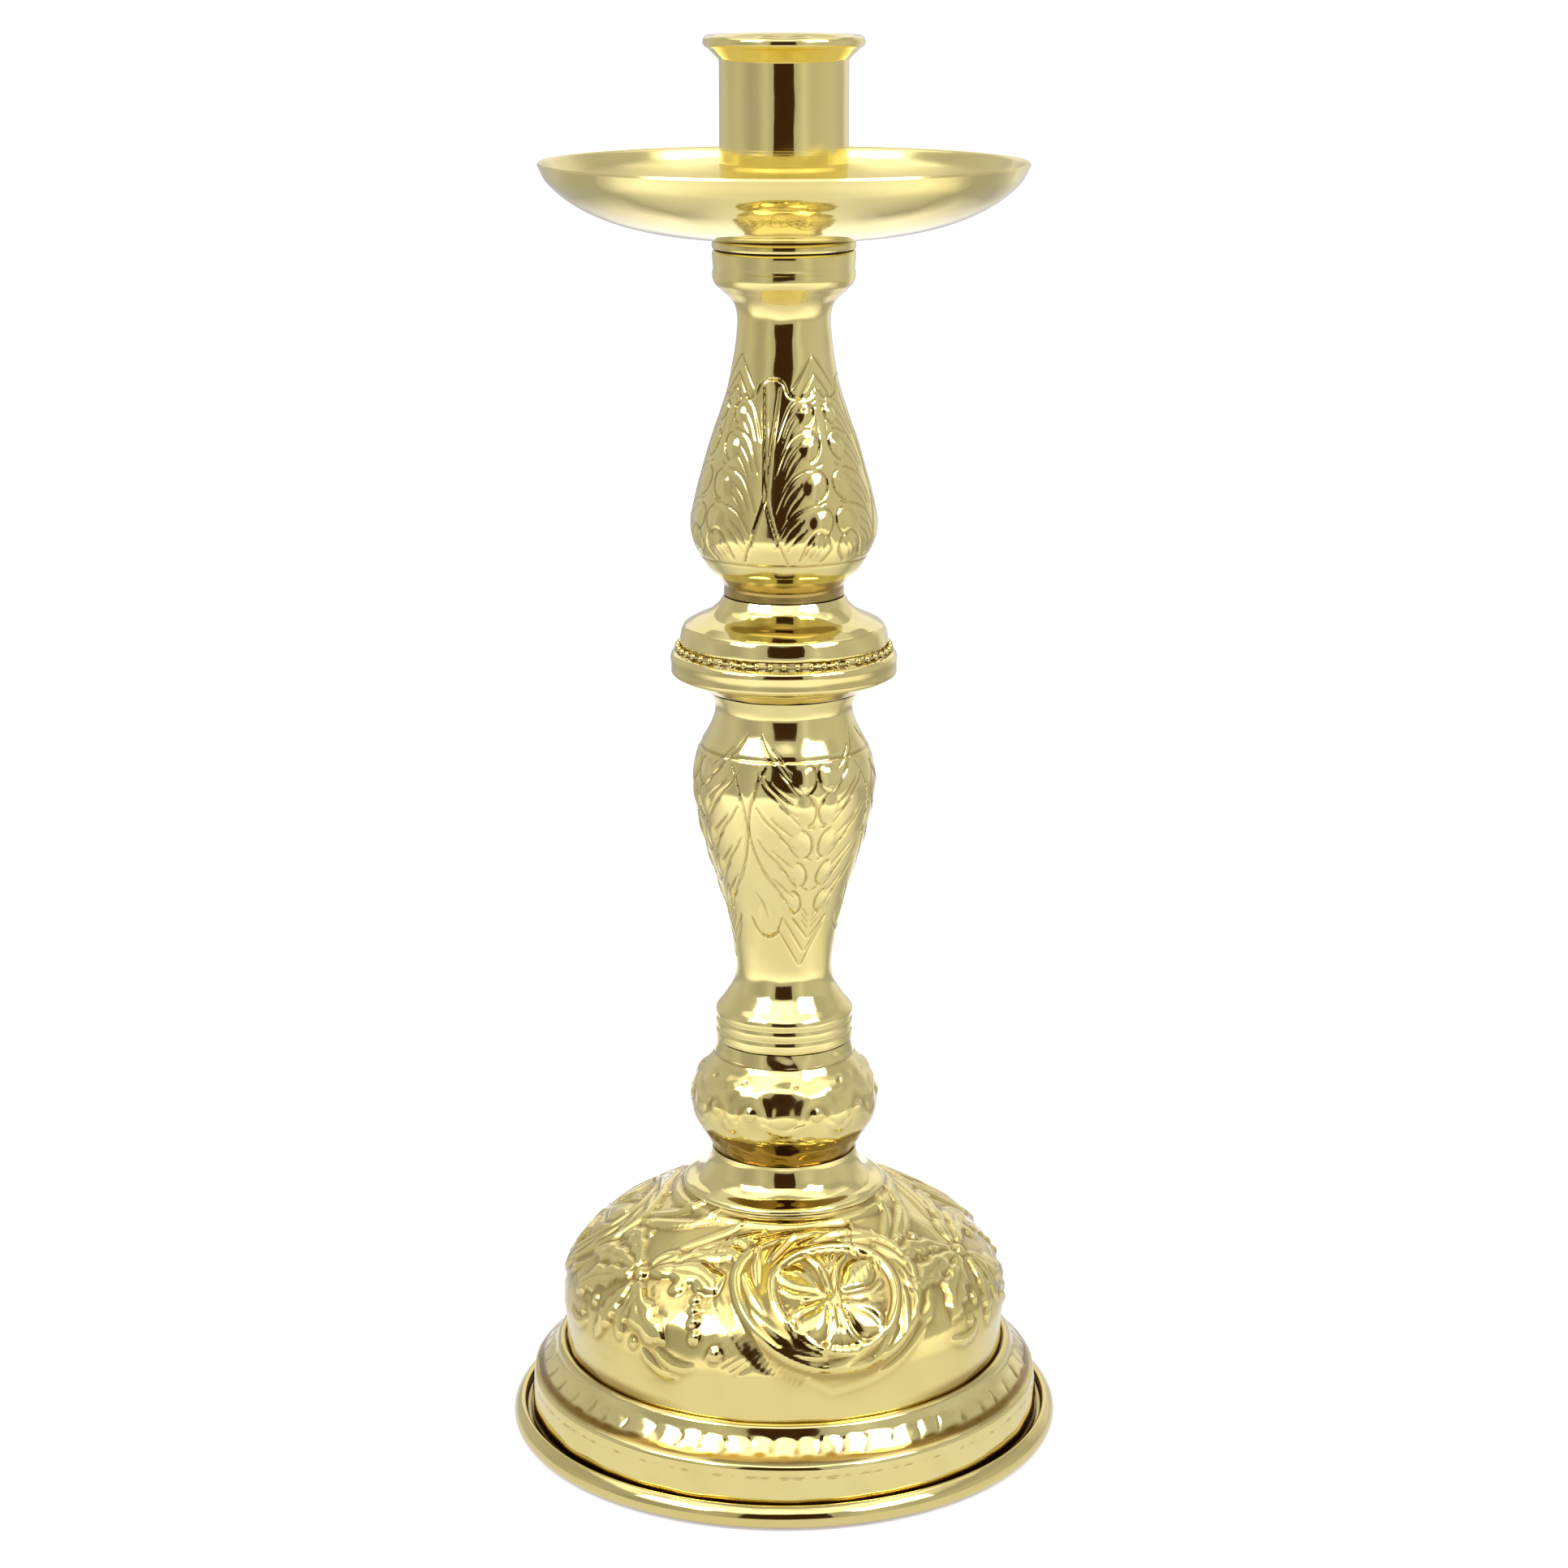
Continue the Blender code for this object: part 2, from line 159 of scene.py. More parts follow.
class Patch:
    """A flat window on the surface round one motif: u runs round the axis and v up the outline."""

    def __init__(self, height, u, v):
        self.height, self.u, self.v = height, u, v

    def near(self, path, reach):
        low, high = path.min(0) - reach, path.max(0) + reach
        inside = (self.u > low[0]) & (self.u < high[0]) & (self.v > low[1]) & (self.v < high[1])
        return np.nonzero(inside)

    def line(self, points, width, depth, taper=0.5, steps=8):
        """Engraves a line, thinner towards its ends by the taper."""
        path = spline(points, steps)
        at = self.near(path, width * 1.5)
        d, t = along(self.u[at], self.v[at], path)
        wide = width * np.maximum(np.sin(np.pi * np.clip(t, 0.02, 0.98)), 0.05) ** taper
        self.height[at] -= depth * bump(d / wide)

    def ridge(self, points, width, rise, taper=0.5, steps=8):
        self.line(points, width, -rise, taper, steps)

    def lobe(self, points, half, rise, edge=1.2, peak=0.5, teeth=0, bite=0.14):
        """Raises a leaf lobe along a path. It is widest at peak, and its edge may be toothed."""
        path = spline(points)
        at = self.near(path, half * 1.3)
        d, t = along(self.u[at], self.v[at], path)
        power = math.log(0.5) / math.log(peak)
        wide = half * np.sin(np.pi * np.clip(t, 0.004, 0.996) ** power) ** 0.7
        if teeth:
            wide = wide * (1 - bite * (0.5 + 0.5 * np.cos(2 * np.pi * teeth * t)))
        lift = rise * np.clip(1 - (d / np.maximum(wide, 1e-6)) ** 2, 0, 1) ** edge
        self.height[at] = np.maximum(self.height[at], lift)

    def bead(self, x, y, radius, rise):
        """Raises a round boss."""
        at = self.near(np.array([(x, y)]), radius * 1.1)
        d = np.hypot(self.u[at] - x, self.v[at] - y) / radius
        lift = rise * np.sqrt(np.clip(1 - d * d, 0, 1))
        self.height[at] = np.maximum(self.height[at], lift)

    def swell(self, x, y, half_wide, half_high, rise):
        """A soft rise or, with a negative number, a soft hollow."""
        reach = np.hypot((self.u - x) / half_wide, (self.v - y) / half_high)
        self.height += rise * bump(np.minimum(reach, 1))


class Surface:
    """The outer skin of a turned piece, on which motifs are laid."""

    def __init__(self, rows, run, columns):
        self.rows, self.run = rows, run
        self.angle = np.arange(columns) * 2 * np.pi / columns
        self.height = np.zeros((len(rows), columns))
        self.amber = np.zeros(self.height.shape)

    def run_at(self, z):
        """Length along the outline up to that height."""
        return float(np.interp(z, self.rows[:, 1], self.run))

    def patch(self, degrees, z):
        """A window centred on that angle and height."""
        v = self.run[:, None] - self.run_at(z) + 0 * self.height
        turn = (self.angle[None, :] - math.radians(degrees) + np.pi) % (2 * np.pi) - np.pi
        return Patch(self.height, turn * self.rows[:, 0][:, None], v)

    def ring(self, z, width, depth):
        """Engraves a line all round."""
        self.height -= depth * bump((self.run[:, None] - self.run_at(z)) / width)

    def worn_ring(self, z, width, depth):
        """Engraves a line all round that is rubbed away in places."""
        a = self.angle
        left = 0.3 + 0.5 * np.sin(5 * a + 1) + 0.7 * np.sin(43 * a) + 0.7 * np.sin(101 * a + 2)
        left = np.clip(left, 0.1, 1)
        self.height -= depth * left * bump((self.run[:, None] - self.run_at(z)) / width)

    def uneven(self, amount, length):
        """Slow waves left by hammer and buff, about that many millimetres long."""
        rng = np.random.default_rng(int(amount * 1000) + len(self.run))
        radius = self.rows[:, 0].mean()
        for _ in range(7):
            around = int(rng.uniform(0.4, 1.5) * 2 * np.pi * radius / length)
            up = rng.uniform(-1.5, 1.5) * 2 * np.pi / length
            wave = around * self.angle[None, :] + up * self.run[:, None] + rng.uniform(0, 2 * np.pi)
            self.height += amount / 3 * np.sin(wave)

    def amber_patch(self, degrees, z, half_wide, half_high, strength):
        """Deepens the colour to amber round one place."""
        spot = self.patch(degrees, z)
        reach = np.minimum(np.hypot(spot.u / half_wide, spot.v / half_high), 1)
        self.amber = np.maximum(self.amber, strength * smooth(1.4 - 1.4 * reach))


# ---- meshes


def mesh_object(name, verts, faces, body, finish, sharp=SHARP, worn=None):
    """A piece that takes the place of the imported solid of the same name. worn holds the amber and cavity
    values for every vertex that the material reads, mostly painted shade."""
    mesh = bpy.data.meshes.new(name)
    mesh.from_pydata((verts * MM).tolist(), [], faces)
    for label, values in (worn or {}).items():
        layer = mesh.attributes.new(label, "FLOAT", "POINT")
        layer.data.foreach_set("value", values.ravel().astype(np.float32))
    mesh.shade_smooth()
    if sharp is not None:
        mesh.set_sharp_from_angle(angle=sharp)
    obj = bpy.data.objects.new(name, mesh)
    bpy.context.scene.collection.objects.link(obj)
    mesh.materials.append(finish)
    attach(obj, body)
    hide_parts(name)


def ring_faces(rows, columns, closed):
    """Quads between rows of a turned grid, faces outwards for rows that go up the outside."""
    i = np.arange(rows if closed else rows - 1)
    j = np.arange(columns)
    a, b = np.meshgrid(i, j, indexing="ij")
    up, on = (a + 1) % rows, (b + 1) % columns
    quads = np.stack([a * columns + b, a * columns + on, up * columns + on, up * columns + b], -1)
    return quads.reshape(-1, 4).tolist()


def capped_faces(rows, columns):
    """The quads of a turned grid that isn't closed, and a cap at both ends."""
    caps = [list(range(columns))[::-1], list(range((rows - 1) * columns, rows * columns))]
    return ring_faces(rows, columns, False) + caps


def round_axis(r, z, angle):
    """Points at those radii and heights, at angles counted from the front."""
    x, y = r * np.sin(angle), -r * np.cos(angle)
    return np.stack([x, y, z + 0 * x], -1).reshape(-1, 3)


def spread(height, passes):
    """Evens out a height field."""
    for _ in range(passes):
        height = (np.roll(height, 1, 1) + 2 * height + np.roll(height, -1, 1)) / 4
        height[1:-1] = (height[:-2] + 2 * height[1:-1] + height[2:]) / 4
    return height


def turned(name, outline, inner, columns, finish, body="stand", spacing=0.5, relief=None, lift=0.0,
           amber=(), waves=None):
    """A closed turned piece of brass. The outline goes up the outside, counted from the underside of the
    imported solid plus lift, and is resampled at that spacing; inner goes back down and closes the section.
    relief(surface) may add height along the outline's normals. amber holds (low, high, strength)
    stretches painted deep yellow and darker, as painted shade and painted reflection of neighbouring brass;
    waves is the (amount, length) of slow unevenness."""
    if spacing:
        rows, run = resampled(outline, spacing)
    else:
        rows = np.array(outline, float)
        run = run_along(rows)
    surface = Surface(rows, run, columns)
    if waves:
        surface.uneven(*waves)
    if relief:
        relief(surface)
    skin = rows[:, None, :] + surface.height[:, :, None] * normals_of(rows)[:, None, :]
    back = np.repeat(np.array(inner, float).reshape(-1, 1, 2), columns, 1)
    r, z = np.moveaxis(np.vstack([skin, back]), 2, 0)
    verts = round_axis(r, z + (base_of(name) + lift), surface.angle)

    def hollow(passes, depth):
        """How far the skin lies under its evened-out self, from 0 to 1 at that depth."""
        return np.clip((spread(surface.height, passes) - surface.height) / depth, 0, 1)

    # fine hollows stand for patina in the engraved lines; broad hollows paint shade
    cavity = np.maximum(hollow(10, 0.12), 0.7 * hollow(90, 0.35))
    # the amber values are painted shade and painted reflection of neighbouring brass, for the most part
    amber_tint = surface.amber
    for low, high, strength in amber:
        reach = smooth((rows[:, 1] - low) / 0.8 + 0.5) * smooth((high - rows[:, 1]) / 0.8 + 0.5)
        amber_tint = np.maximum(amber_tint, strength * reach[:, None])
    untinted = np.zeros(back.shape[:2])
    worn = {"cavity": np.vstack([cavity, untinted]), "amber": np.vstack([amber_tint, untinted])}
    mesh_object(name, verts, ring_faces(len(r), columns, True), body, finish, worn=worn)


def lining(outline, low_hole, high_hole, every=6):
    """The inside of a shell, from its top down: the end turned in to a hole, the inner wall, the other
    end. The wall keeps clear of the outline by taking the least radius near each ring."""
    rows, _ = resampled(outline, 0.5)
    bottom, top = rows[0, 1] + WALL, rows[-1, 1] - WALL
    count = max(2, int((top - bottom) / every))
    heights = np.linspace(top, bottom, count + 1)
    reach = (top - bottom) / count
    radii = [rows[abs(rows[:, 1] - h) <= reach, 0].min() - WALL for h in heights]
    high, low = min(high_hole, radii[0]), min(low_hole, radii[-1])
    return [(high, rows[-1, 1]), (high, top), *zip(radii, heights), (low, bottom), (low, rows[0, 1])]


# ---- materials


class Graph:
    """The nodes of a material or of the world."""

    def __init__(self, tree):
        self.nodes, self.links = tree.nodes, tree.links

    def feed(self, value, socket):
        """Gives a socket a number, a vector, a colour or another node's output."""
        if isinstance(value, (int, float)):
            socket.default_value = value
        elif isinstance(value, tuple):
            socket.default_value = (*value, 1) if len(socket.default_value) == 4 else value
        else:
            self.links.new(value, socket)

    def give(self, node, *values, **inputs):
        """Feeds a node's first inputs in order, and others by name, with underscores for spaces."""
        for value, socket in zip(values, node.inputs):
            self.feed(value, socket)
        for name, value in inputs.items():
            self.feed(value, node.inputs[name.replace("_", " ")])
        return node

    def add(self, kind, *values, **inputs):
        return self.give(self.nodes.new("ShaderNode" + kind), *values, **inputs)

    def end(self, shader):
        """Makes a shader the one that shows."""
        self.feed(shader.outputs[0], self.nodes["Material Output"].inputs["Surface"])

    def place(self, scale=(1, 1, 1)):
        """The place on the object, in metres times the scale."""
        spot = self.add("TexCoord").outputs["Object"]
        return self.add("Mapping", Vector=spot, Scale=scale).outputs["Vector"]

    def noise(self, vector, scale, detail, rough=0.5):
        made = self.add("TexNoise", Vector=vector, Scale=scale, Detail=detail, Roughness=rough)
        return made.outputs["Fac"]

    def ramp(self, value, stops):
        """Colours along a value from 0 to 1. stops holds (value, colour)."""
        made = self.add("ValToRGB", Fac=value)
        elements = made.color_ramp.elements
        elements.remove(elements[1])
        elements[0].position = stops[0][0]
        elements[0].color = (*stops[0][1], 1)
        for place, color in stops[1:]:
            elements.new(place).color = (*color, 1)
        return made.outputs["Color"]

    def ranged(self, value, low, high, out_low, out_high):
        """Turns low to high into out_low to out_high, held at both ends."""
        limits = {"From_Min": low, "From_Max": high, "To_Min": out_low, "To_Max": out_high}
        return self.add("MapRange", Value=value, **limits).outputs["Result"]

    def mixed(self, factor, first, second):
        made = self.add("Mix")
        made.data_type = "RGBA"
        for value, name in ((factor, "Factor"), (first, "A"), (second, "B")):
            self.feed(value, made.inputs[name])
        return made.outputs["Result"]

    def math(self, operation, *values):
        made = self.add("Math", *values)
        made.operation = operation
        return made.outputs[0]

    def split(self, vector):
        """The x, y and z of a vector."""
        return self.add("SeparateXYZ", Vector=vector).outputs

    def attribute(self, name):
        made = self.add("Attribute")
        made.attribute_name = name
        return made.outputs["Fac"]

    def bump(self, height, distance, **more):
        return self.add("Bump", Height=height, Distance=distance, **more).outputs["Normal"]


def material(name):
    made = bpy.data.materials.new(name)
    made.use_nodes = True
    return made, Graph(made.node_tree)


def principled(name, **inputs):
    """A new material, its graph and its shader."""
    made, graph = material(name)
    return made, graph, graph.give(graph.nodes["Principled BSDF"], **inputs)


BRASS_LIGHT = (0.92, 0.79, 0.325)
BRASS_DEEP = (0.89, 0.75, 0.275)
BRASS_WARM = (0.91, 0.765, 0.272)
# BRASS_AMBER paints shade and the reflection of neighbouring brass (amber attribute), and patina or hollow
# shade (cavity attribute)
BRASS_AMBER = (0.30, 0.17, 0.015)
# painted shade in crevices and contact gaps, with grime
BRASS_GRIME_AND_SHADE = (0.16, 0.08, 0.02)


def brass(name, polish, spun, haze=0.0, light=BRASS_LIGHT):
    """Lacquered brass: slow colour drift, painted deep yellow for shade and for the reflection of
    neighbouring brass where the amber attribute says, brown in the engraved lines as patina and in broader
    hollows as painted shade, painted shade with grime in the crevices, turning marks round the axis, hair
    scratches and the slight waves of hand polishing. spun goes from 0 to 1. haze is the extra roughness of
    dust on faces that look up. light is
    the paler of the two colours it drifts between."""
    made, graph, shader = principled(name, Base_Color=BRASS_LIGHT, Metallic=1.0, Coat_Weight=0.25,
                                     Coat_Roughness=0.03)
    place = graph.place()
    color = graph.ramp(graph.noise(place, 38, 2), [(0.35, BRASS_DEEP), (0.65, light)])
    # painted shade and painted reflection of neighbouring brass, from the amber attribute
    color = graph.mixed(graph.attribute("amber"), color, BRASS_AMBER)
    # patina brown in the fine engraved lines, and painted shade in the broader hollows, from the cavity
    # attribute
    color = graph.mixed(graph.math("MULTIPLY", graph.attribute("cavity"), 0.6), color, BRASS_AMBER)
    # painted shade with grime where ambient occlusion finds crevices and gaps; these are also made rougher
    shade = graph.add("AmbientOcclusion", Distance=3 * MM)
    shade.samples = 6
    shade_and_grime = graph.ranged(shade.outputs["AO"], 0.1, 0.5, 1, 0)
    color = graph.mixed(shade_and_grime, color, BRASS_GRIME_AND_SHADE)
    smear = graph.noise(place, 90, 4, 0.6)
    rough = graph.ranged(smear, 0.3, 0.75, polish * 0.8, polish * 1.7)
    rough = graph.math("MULTIPLY_ADD", shade_and_grime, 0.3, rough)
    if haze:
        upward = graph.split(graph.add("NewGeometry").outputs["Normal"])["Z"]
        rough = graph.math("ADD", graph.ranged(upward, 0.2, 0.8, 0, haze), rough)
    rings = graph.noise(graph.place((2, 2, 2600)), 1, 2)
    hairs = graph.noise(graph.place((2600, 900, 160)), 1, 2)
    marks = graph.math("MULTIPLY_ADD", hairs, 0.35, rings)
    dents = graph.bump(graph.noise(place, 80, 2, 0.4), 0.28 * MM)
    normal = graph.bump(marks, 0.2 * MM, Strength=0.035 * spun, Normal=dents)
    graph.give(shader, Base_Color=color, Roughness=rough, Normal=normal)
    return made


def speckled(name, scale, detail, stops, relief=0.0, rough=0.5, **inputs):
    """A material with a fine grain in its colour and, with relief, on its surface."""
    made, graph, shader = principled(name, **inputs)
    grain = graph.noise(graph.place(), scale, detail, rough)
    graph.give(shader, Base_Color=graph.ramp(grain, stops))
    if relief:
        graph.give(shader, Normal=graph.bump(grain, 0.4 * MM, Strength=relief))
    return made, graph, shader, grain


def zinc():
    stops = [(0.3, (0.5, 0.5, 0.47)), (0.7, (0.68, 0.68, 0.66))]
    made, graph, shader, grain = speckled("zinc_plated_steel", 220, 4, stops, Metallic=1.0)
    graph.give(shader, Roughness=graph.ranged(grain, 0.3, 0.7, 0.22, 0.42))
    return made


def cast_iron():
    stops = [(0.3, (0.03, 0.03, 0.03)), (0.8, (0.11, 0.10, 0.09))]
    return speckled("cast_iron_black", 700, 6, stops, relief=0.5, Roughness=0.7, Metallic=0.4)[0]


def felt_cloth():
    stops = [(0.3, (0.015, 0.07, 0.035)), (0.7, (0.05, 0.17, 0.09))]
    return speckled("green_felt", 1500, 6, stops, relief=0.8, rough=0.7, Roughness=0.95,
                    Metallic=0.0, Sheen_Weight=0.4)[0]


bright_brass = brass("brass_polished", polish=0.06, spun=1.0)
chased_brass = brass("brass_chased", polish=0.075, spun=0.35)
satin_brass = brass("brass_satin", polish=0.09, spun=0.2, light=BRASS_WARM)
pan_brass = brass("brass_dusty", polish=0.06, spun=1.0, haze=0.25)
steel = zinc()
iron = cast_iron()
felt = felt_cloth()

# points round the axis
WIDE = 256
STEM = 192


# ---- foot

roll = curve([
    (55.6, -0.5), (56.9, -1.35), (58.7, -1.4), (59.75, -0.5), (60, 0.7), (59.7, 1.8), (58.9, 2.8),
    (58, 3.4), (57.4, 3), (57.3, 1.5),
], 6)
plate_under = softened([(4.6, 9.2), (13, 9.2), (14, 0), (54.5, 0), (55.6, -0.5)], 1.2)
plate_over = softened([(57.3, 1.5), (57, 1.2), (15.4, 1.2), (14.2, 10.4), (4.6, 10.4)], 1)
ROLL_DROP = 1.4
# amber here is painted shade that dims the roll's reflections
turned("foot_plate", plate_under[:-1] + roll + plate_over[1:], [], WIDE, bright_brass, spacing=None,
       lift=ROLL_DROP, amber=[(-3, 12, 0.2)])


SHOULDER_RADIUS = 53


def plinth_relief(surface):
    """Drops side by side on the shoulder, painted amber shade under and between them, and a rubbed line."""
    surface.worn_ring(6.9, 0.45, 0.13)
    rng = np.random.default_rng(11)
    angle = 0.0
    while angle < 357:
        wide, rise = rng.uniform(2, 3.7), rng.uniform(0.09, 0.16)
        level = rng.uniform(12, 12.8)
        patch = surface.patch(angle, level)
        patch.swell(0, 0, wide, rng.uniform(2, 2.8), rise)
        patch.swell(wide * 0.7, -0.5, wide * 0.6, 1.7, rise * 0.6)
        crease = [(wide, -1.9), (wide * 1.3, 0.2), (wide * 1.2, 1.2)]
        patch.line(crease, 0.9, rng.uniform(0.04, 0.2), 0.4)
        gap = angle + math.degrees(wide * 1.25 / SHOULDER_RADIUS)
        # painted amber shade in the gap beside each drop and under it
        surface.amber_patch(gap, level - 1.2, 1.2, 1.6, rng.uniform(0, 0.7))
        surface.amber_patch(angle, level - 1.9, wide * 1.2, rng.uniform(0.6, 1.3), 1)
        angle += wide * 2.4


plinth_outline = [(56.3, 0), (55.9, 3), (55.38, 8.5), (55.25, 8.85), (54.8, 9.4)]
plinth_outline += curve([
    (54.5, 9.5), (53.8, 10.1), (53, 11), (51.8, 12.3), (50.8, 13.6), (50.35, 14.4), (50.1, 15.1),
    (49.8, 15.6), (49.1, 16), (48.6, 15.95), (48.3, 15.6),
], 8)
plinth_outline += [(48.25, 15.2)]
# amber here is painted shade at the wall's foot and under the drops, and a little on the top rim to dim its
# highlight
turned("plinth", plinth_outline, lining(plinth_outline, 55.6, 44), 800, chased_brass, spacing=0.38,
       relief=plinth_relief, amber=[(-1, 1.9, 1), (9.5, 10.8, 0.95), (15.4, 17, 0.3)], waves=(0.05, 14))


# ---- dome


def polar(radius, degrees):
    a = math.radians(degrees)
    return radius * math.cos(a), radius * math.sin(a)


def oval(x, y, wide, high, count=60):
    """Points round an ellipse with those half axes, anticlockwise from the right."""
    turns = np.radians(np.linspace(0, 360, count + 1))
    return [(x + wide * math.cos(a), y + high * math.sin(a)) for a in turns]


RINGS = {
    # middle u and v, half width, half height
    "inner": (1.1, 0.8, 13.4, 12.4),
    "wreath": (0.5, 0.9, 16.9, 14.3),
    "outer": (0, 1, 20.3, 16.3),
}
ARMS = (84, 185, 272, 348)
PETALS = (37, 146, 222, 318)
WREATH_LEAVES = 12
# lengths along the wreath and outwards
WREATH_LEAF = ((-5.2, 1.4), (0, 0.4), (5, -1.5))


def medallion(patch):
    """A cross of four flared arms with petals between them, in a ring with a wreath round it."""
    for ring, edge, fall, rise in (("outer", 1.1, 0.14, 0.5), ("inner", 1, 0.09, -0.65)):
        x, y, wide, high = RINGS[ring]
        out = np.hypot((patch.u - x) / wide, (patch.v - y) / high)
        patch.height += rise * smooth((edge - out) / fall)
    patch.ridge(oval(*RINGS["outer"]), 1.25, 0.55, 0, 1)
    patch.ridge(oval(*RINGS["inner"]), 0.95, 0.6, 0, 1)
    x, y, wide, high = RINGS["wreath"]
    for a in np.radians(np.arange(WREATH_LEAVES) * 360 / WREATH_LEAVES):
        out = np.array((math.cos(a), math.sin(a)))
        on = np.array((-math.sin(a), math.cos(a)))
        middle = (x, y) + (wide, high) * out
        path = [middle + along * on + aside * out for along, aside in WREATH_LEAF]
        patch.ridge(path, 1.2, 0.42, 0.8)
        patch.line([spot + 0.9 * out for spot in path], 0.45, 0.15)
    for angle in PETALS:
        petal(patch, angle)
    for angle in ARMS:
        arm(patch, angle)
    patch.bead(0, 0, 2.1, 0.5)
    patch.line(oval(0, 0, 1.35, 1.3, count=24), 0.4, 0.3, 0, 1)


def petal(patch, angle):
    patch.lobe([polar(r, angle) for r in (2.2, 7.5, 12.6)], 4, 0.9, edge=0.9, peak=0.62)
    for k in range(4):
        r = 5.6 + 1.5 * k
        patch.line([polar(r, angle - 13), polar(r + 1.2, angle), polar(r + 2.2, angle + 9)], 0.5, 0.14)


def arm(patch, angle):
    """A flared arm of the cross: an outline, a raised edge and three ribs."""

    def fan(turn, *places):
        """Points at those (radius, degrees aside), each turned aside by turn times its degrees."""
        return [polar(r, angle + turn * degrees) for r, degrees in places]

    for side in (-1, 1):
        patch.line(fan(side, (2.2, 38), (5, 24), (9, 23), (12.2, 30)), 0.6, 0.3, 0.3)
        patch.ridge(fan(side, (1.4, 26), (5, 12), (8.6, 13), (11.8, 21)), 0.75, 0.75, 0.3)
    for side in (-1, 0, 1):
        patch.ridge(fan(side, (6.5, 3), (9, 6), (11.6, 10)), 0.65, 0.45)


HATCHING = (
    # first and last degrees, step, half width and height at the inner ends, at the outer ends, line width,
    # depth, taper
    (138, 250, 2.9, (22.3, 18.2), (25.8, 21.4), 0.42, 0.28, 0.2),
    (164, 226, 3.1, (26.6, 22), (32, 26.5), 0.75, 0.17, 0.5),
)


def hatched_band(patch):
    """Short punched strokes that hug the medallion's left side, and a fainter row outside them."""
    for first, last, step, inner, outer, width, depth, taper in HATCHING:
        for a in np.radians(np.arange(first, last, step)):
            ends = [(wide * math.cos(a), 1 + high * math.sin(a)) for wide, high in (inner, outer)]
            patch.line(ends, width, depth, taper)


def hem(patch):
    """The raised pointed line under the medallion."""
    patch.ridge([
        (-13, -14.6), (-6.8, -17.6), (-2.3, -20.3), (-2.2, -20.3), (6.4, -18.4), (14.5, -14.4), (21, -8),
        (24.2, 0), (23.5, 7),
    ], 0.9, 0.3, 0.6)


LOBES = (
    # path from the middle outwards, half width, rise, teeth
    ([(1, 1.5), (8, 7.2), (15, 10.6), (22, 7.6)], 2.4, 0.9, 4),
    ([(1, 0.6), (8, 3.2), (14, 3.4), (20, 0)], 3.9, 1.15, 3),
    ([(0.5, -1), (4.5, -6), (9, -9.8), (14.5, -12.2)], 3.8, 1, 3),
    ([(0, -1), (-1.5, -7), (-3.5, -12), (-5.8, -16.8)], 2.6, 0.9, 5),
    ([(0, -1), (2.2, -7), (1.6, -11), (2.6, -15.2)], 2, 0.8, 4),
    ([(-1, 0), (-7, -3.2), (-13, -6.5), (-18, -11.6)], 3.6, 0.95, 4),
    ([(-1, 0.4), (-8, 0.8), (-16, -0.6), (-23, -1.8)], 2.9, 0.85, 4),
    ([(-1, 1), (-6, 4.6), (-11, 6.4), (-16.5, 5.4)], 2.8, 0.85, 4),
    ([(0.4, 1), (2.4, 4.5), (5.4, 7.8)], 1.9, 0.8, 0),
)
DROPS = (
    # u, v, radius
    (11.1, -0.4, 1.8), (16.7, -2.2, 1.1), (17.9, -4.6, 1), (19.4, -7, 1.3), (21, -10.2, 1.1),
    (26.4, -13.1, 1.4), (-6.9, 8.9, 1), (-11.3, 10.2, 1), (-8.4, -9.6, 1.2), (-12.2, -13.4, 1.1),
    (6.6, -14.6, 1), (24, 4.6, 1.1),
)
SPRAYS = (
    # stroke paths that fan out over the leaf
    [(-20, 5.5), (-11, 10.6), (-2, 14.6), (6, 18.4)],
    [(-13, 8.6), (-5, 12.6), (2, 15.4)],
    [(3.4, 8.4), (8, 13.6), (12, 19.4)],
    [(6.4, 8.8), (12, 13.4), (18, 17.4)],
    [(10, 11), (15, 13.8), (21, 15.6)],
    [(-17, 9.8), (-9, 14.2), (-2, 18.8)],
    [(-24, 4.6), (-20, 9.6), (-13, 14.6)],
    [(15.5, 12.8), (20, 13.4), (24.5, 12.4)],
    [(-24.5, 8.6), (-21, 13.4), (-15, 18)],
    [(0.5, 15), (2.5, 18), (4.5, 21.5)],
    [(-6, 15.6), (-3.5, 19), (-0.5, 22)],
    [(12.6, -14.4), (17.4, -17), (22, -16.8)],
    [(9.4, -15.6), (14.2, -19), (19, -19.4)],
    [(-9.5, -14.4), (-14, -16.8), (-19.5, -15.8)],
    [(-21, -6.4), (-25, -8.6), (-28.5, -7.4)],
)


def vine_leaf(patch):
    """A broad toothed leaf with berries and tendrils round it."""
    for path in SPRAYS:
        patch.lobe(path, 1.25, 0.6, edge=1.0, peak=0.5)
        patch.line(path, 0.4, 0.16, 0.8)
    for path, half, rise, teeth in LOBES:
        patch.line(spline(path)[2:], half + 0.9, 0.36, 0.5, 1)
        patch.lobe(path, half, rise, edge=0.6, peak=0.6, teeth=teeth, bite=0.36)
    for path, half, rise, teeth in LOBES:
        patch.line(path, 0.65, 0.5, 0.4)
        rib = spline(path, 10)
        ahead = rib[-1] - rib[len(rib) // 2]
        across = np.array((-ahead[1], ahead[0])) / np.hypot(*ahead)
        for offset in (-0.5, 0.5):
            spots = [rib[int(len(rib) * t)] + across * offset * half * t for t in (0.25, 0.6, 0.9)]
            patch.line(spots, 0.5, 0.24, 0.6)
    patch.line(oval(0, 0, 2.3, 2.2, count=24), 0.6, 0.4, 0, 1)
    patch.bead(0, 0, 1.6, 1)
    for x, y, radius in DROPS:
        patch.line(oval(x, y, radius * 1.25, radius * 1.25, count=16), 0.5, 0.2, 0, 1)
        patch.bead(x, y, radius, 0.75)


